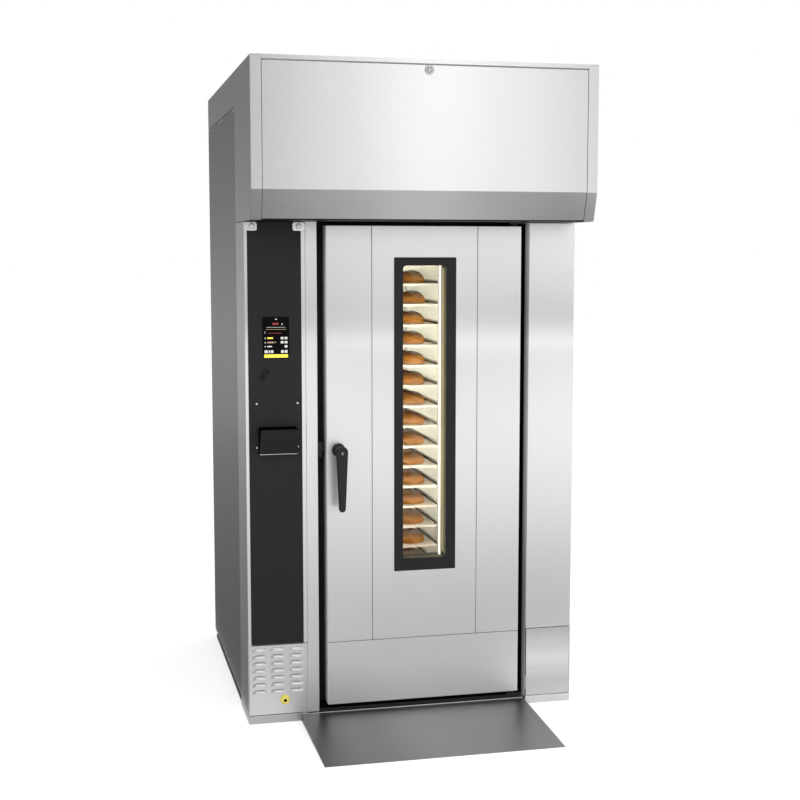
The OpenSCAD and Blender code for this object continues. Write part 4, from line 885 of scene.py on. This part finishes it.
# Strip and cheek in one bent sheet: its plan line slides back with the lip's slope.
def cheekShell(side):
    rings = []
    for z, inset in ((1.9812, 0.0006), (1.9818, 0), (2.088, 0), (2.0935, 0), (2.0955, 0),
                     (2.5722, 0), (2.5728, 0.0006)):
        y = hoodY + max(0.0, hood["lip"] - z) * hood["run"] / hood["rise"]
        line = bent([(side * hood["strip"], y + inset), (side * hood["side"], y + inset),
                     (side * hood["side"], sideY)], hood["bend"], 5)
        ring = thickened(line, side * hood["t"])
        rings.append(np.stack([ring[:, 0], ring[:, 1], np.full(len(ring), z)], -1))
    return shell(rings)


# The hood's sheets carry a painted sheen: brightest across the middle, darker towards the sides
build("hoodCheeks", *joined([cheekShell(-1), cheekShell(1)] + [
    plate(side, (sideY - 0.0002, hood["band"][0], backY - 0.0001, hood["band"][1]), hood["t"],
          hood["bandEdge"]) for side in sides
]), hoodPaintedSheen, "cabinet", ["hood_cheeks"], "cabinet_steel")

# Hatch, by depths behind the hood's front, its sheet with the hood's painted sheen, with a grey
# strip of painted shade in the gap above it, knuckles in near-black steel for painted shade, and
# its quarter-turn lock
hatch = {"half": 0.6268, "t": 0.0019, "bend": 0.003, "seal": (2.5548, 2.5588),
         "line": [(0.0335, 1.986), (0, 2.092), (0, 2.5545), (0.019, 2.5545)],
         "knuckles": range(0, 9, 2), "knucklePitch": 0.13333, "knuckleX": -0.5995,
         "knuckle": [(0.0045, 0), (0.005, 0.0005), (0.005, 0.1318), (0.0045, 0.1323)]}
lock = {"z": 2.536, "ring": 0.0185, "hole": 0.0088, "ringHeight": 0.003,
        "core": [(0.0083, -0.015), (0.0084, 0.0030), (0.0078, 0.0039), (0.0060, 0.0040),
                 (0.0058, 0.0028)]}
lockAt = (0, hoodY, lock["z"])


# A ring turned about the lock's axis, its face sunk between a round rim and the core's hole.
def lockRing(r0, r1, h):
    return turned(lockAt, out, [(r0 - 0.0003, 0), (r0, 0.0006), (r0 - 0.0006, h * 0.7),
                                (r0 - 0.0025, h), (r1 + 0.002, h), (r1 + 0.0004, h * 0.6),
                                (r1, h * 0.2)], 40)


build("hatchGapShade", *plate(face("front", hoodY + 0.0008), (-hatch["half"], hatch["seal"][0],
                                                          hatch["half"], hatch["seal"][1]),
                          0.012, 0.0003, 0.001), gapPaintedShade, "cabinet", slot="cabinet_steel")
hatchLine = bent([(hoodY + depth, z) for depth, z in hatch["line"]], hatch["bend"])
build("hoodHatchSheet", *swept("x", (-hatch["half"], hatch["half"]),
                               thickened(hatchLine, -hatch["t"])),
      hoodPaintedSheen, "hatch", ["hood_hatch"], "cabinet_steel")
build("hatchKnuckles", *joined([
    turned((hatch["knuckleX"] + k * hatch["knucklePitch"], frontY - 0.202, 1.986), (1, 0, 0),
           hatch["knuckle"], 20) for k in hatch["knuckles"]
]), shadowSteel, "hatch", slot="cabinet_steel")
build("lockRing", *lockRing(lock["ring"], lock["hole"], lock["ringHeight"]), machined, "hatch",
      slot="cabinet_steel")
build("hatchLock", *joined([
    turned(lockAt, out, lock["core"], 32),
    plate(face("front", hoodY - 0.0036), (-0.001, 2.5305, 0.001, 2.5415), 0.001, 0.0003),
    plate(face("front", hoodY + 0.0094), (-0.007, 2.529, 0.007, 2.554), 0.0025, 0.0005),
]), machined, "lock", ["hatch_lock"], "fastener_steel")
print("hood ready")

# Studio

scene = bpy.context.scene
scene.view_settings.view_transform = "Standard"


# A rectangular lamp that gloss doesn't see, turned from its place to its target.
def areaLamp(name, place, target, size, power, color=(1, 1, 1)):
    data = bpy.data.lights.new(name, "AREA")
    data.shape = "RECTANGLE"
    data.size, data.size_y = size
    data.energy = power
    data.color = color
    obj = bpy.data.objects.new(name, data)
    scene.collection.objects.link(obj)
    obj.location = place
    obj.visible_glossy = False
    direction = np.array(target, float) - np.array(place, float)
    obj.rotation_euler = (math.acos(-direction[2] / np.linalg.norm(direction)), 0,
                          math.atan2(direction[1], direction[0]) - math.pi / 2)


# A light wall that only metal and gloss see: its level runs along one of its own axes.
def card(name, corner, across, up, axis, levels):
    corner, across, up = (np.array(v, float) for v in (corner, across, up))
    mesh = bpy.data.meshes.new(name)
    points = [corner, corner + across, corner + across + up, corner + up]
    mesh.from_pydata([p.tolist() for p in points], [], [(0, 1, 2, 3)])
    mat, tree, shader = material(name)
    tree.nodes.remove(shader)
    glow = node(tree, "Emission", {"Color": levelRamp(tree, axis, levels, 0.5), "Strength": 2.0})
    feed(tree, tree.nodes["Material Output"], {"Surface": glow.outputs[0]})
    mesh.materials.append(mat)
    obj = bpy.data.objects.new(name, mesh)
    scene.collection.objects.link(obj)
    obj.visible_camera = obj.visible_diffuse = obj.visible_shadow = False
    obj.visible_transmission = obj.visible_volume_scatter = False


lamps = {
    "keyLamp": ((-2.2, -5.5, 4.2), (0, 0, 1.4), (4.4, 4.4), 170),
    "rightLamp": ((4.5, -3.5, 3.0), (0, 0, 1.2), (2.5, 3.0), 80),
    "chamberLamp": ((0.112, frontY + 0.075, 1.225), (-0.10, 0.9, 1.225), (0.02, 1.16), 4.3,
                    (1.0, 0.94, 0.78)),
    "wallLamp": ((0.400, 0.40, 1.2), (0.37, 0.80, 1.2), (0.04, 1.30), 2.0, (1.0, 0.98, 0.93)),
}
for name, settings in lamps.items():
    areaLamp(name, *settings)
bpy.data.objects["wallLamp"].visible_camera = False

# Corner, the two edges, the axis that the level runs along, and (place, level) pairs
cards = {
    "upperWall": ((-9, -12, 2.4), (22, 0, 0), (0, 0, 8), 0, [
        (-9, 0.30), (-0.5, 0.34), (1.4, 0.52), (2.9, 2.25), (4.3, 0.80), (6, 0.66), (13, 0.66)]),
    "lowerWall": ((-9, -12, 0), (22, 0, 0), (0, 0, 2.4), 0, [
        (-9, 0.54), (1.0, 0.77), (2.2, 0.86), (4.5, 1.02), (6, 1.16), (13, 1.0)]),
    "farFloor": ((-9, -12, 0.004), (22, 0, 0), (0, 8.1, 0), 0, [
        (-9, 0.70), (0, 1.15), (2, 1.40), (4, 1.60), (13, 1.3)]),
    "frontFloor": ((-3, -3.9, 0.004), (9, 0, 0), (0, 2.8, 0), 0, [
        (-3, 0.40), (-0.5, 0.50), (0.3, 0.46), (1.0, 0.34), (6, 0.45)]),
    "lipFlag": ((-3, -2.5, 1.5), (4.3, 0, 0), (0, 1.75, 0), 0, [
        (-3, 0.14), (-0.7, 0.18), (0.2, 0.52), (0.95, 0.18), (1.3, 0.4)]),
    "louvreSky": ((-0.8, -2.25, 1.49), (0.62, 0, 0), (0, 1.4, 0), 0, [(-0.8, 1.3), (-0.18, 1.3)]),
    "leftWall": ((-10, 9, 0), (9.8, 0, 0), (0, 0, 9), 2, [
        (0, 0.38), (1, 0.46), (2.3, 0.29), (3.4, 0.21), (9, 0.17)]),
    "leftFloor": ((-10, -0.9, 0.004), (9.3, 0, 0), (0, 9.8, 0), 1, [
        (-0.9, 0.135), (1, 0.15), (8.9, 0.30)]),
    "farLeft": ((-10, -5, 0), (0, 14, 0), (0, 0, 9), 1, [(-5, 0.5), (0, 0.3), (9, 0.2)]),
}
for name, settings in cards.items():
    card(name, *settings)

# Pale floor: to the camera it glows a little, so that only the shadow stays below white
floor = {"reach": 30, "white": 0.85, "rough": 0.9, "glow": 0.42}
reach = floor["reach"]
floorMesh = bpy.data.meshes.new("studioFloor")
floorMesh.from_pydata([(-reach, -reach, 0), (reach, -reach, 0), (reach, reach, 0),
                       (-reach, reach, 0)], [], [(0, 1, 2, 3)])
floorMat, tree, shader = material("studioFloor")
feed(tree, shader, {"Base Color": (floor["white"], floor["white"], floor["white"], 1),
                    "Roughness": floor["rough"], "Specular IOR Level": 0.0})
paths = node(tree, "LightPath", {})
none = node(tree, "Emission", {"Strength": 0.0})
glow = node(tree, "Emission", {"Strength": floor["glow"]})
pick = node(tree, "MixShader", {0: paths.outputs["Is Camera Ray"], 1: none.outputs[0],
                                2: glow.outputs[0]})
total = node(tree, "AddShader", {0: shader.outputs[0], 1: pick.outputs[0]})
feed(tree, tree.nodes["Material Output"], {"Surface": total.outputs[0]})
floorMesh.materials.append(floorMat)
studioFloor = bpy.data.objects.new("studioFloor", floorMesh)
scene.collection.objects.link(studioFloor)

# White to the camera, to gloss and through glass, and a soft grey light for the rest
world = bpy.data.worlds.new("studio")
scene.world = world
world.use_nodes = True
tree = world.node_tree
soft = tree.nodes["Background"]
feed(tree, soft, {"Color": (0.70, 0.70, 0.71, 1)})
white = node(tree, "Background", {"Color": (1, 1, 1, 1)})
paths = node(tree, "LightPath", {})
seen = arithmetic(tree, "ADD", paths.outputs["Is Camera Ray"], paths.outputs["Is Glossy Ray"])
seenToo = node(tree, "Math", {0: seen, 1: paths.outputs["Is Transmission Ray"]})
seenToo.use_clamp = True
mix = node(tree, "MixShader", {0: seenToo.outputs[0], 1: soft.outputs[0], 2: white.outputs[0]})
feed(tree, tree.nodes["World Output"], {"Surface": mix.outputs[0]})

# The photograph's point of view
view = {"lens": 62.34, "place": (-1.3069, -5.7265, 1.8522), "down": 5.976, "turn": 13.23}
camera = bpy.data.objects.new("camera", bpy.data.cameras.new("camera"))
scene.collection.objects.link(camera)
camera.data.lens = view["lens"]
camera.data.sensor_width = 36
camera.data.clip_end = 100
camera.location = view["place"]
camera.rotation_euler = (math.radians(90 - view["down"]), 0, math.radians(-view["turn"]))
scene.camera = camera
print("studio ready")
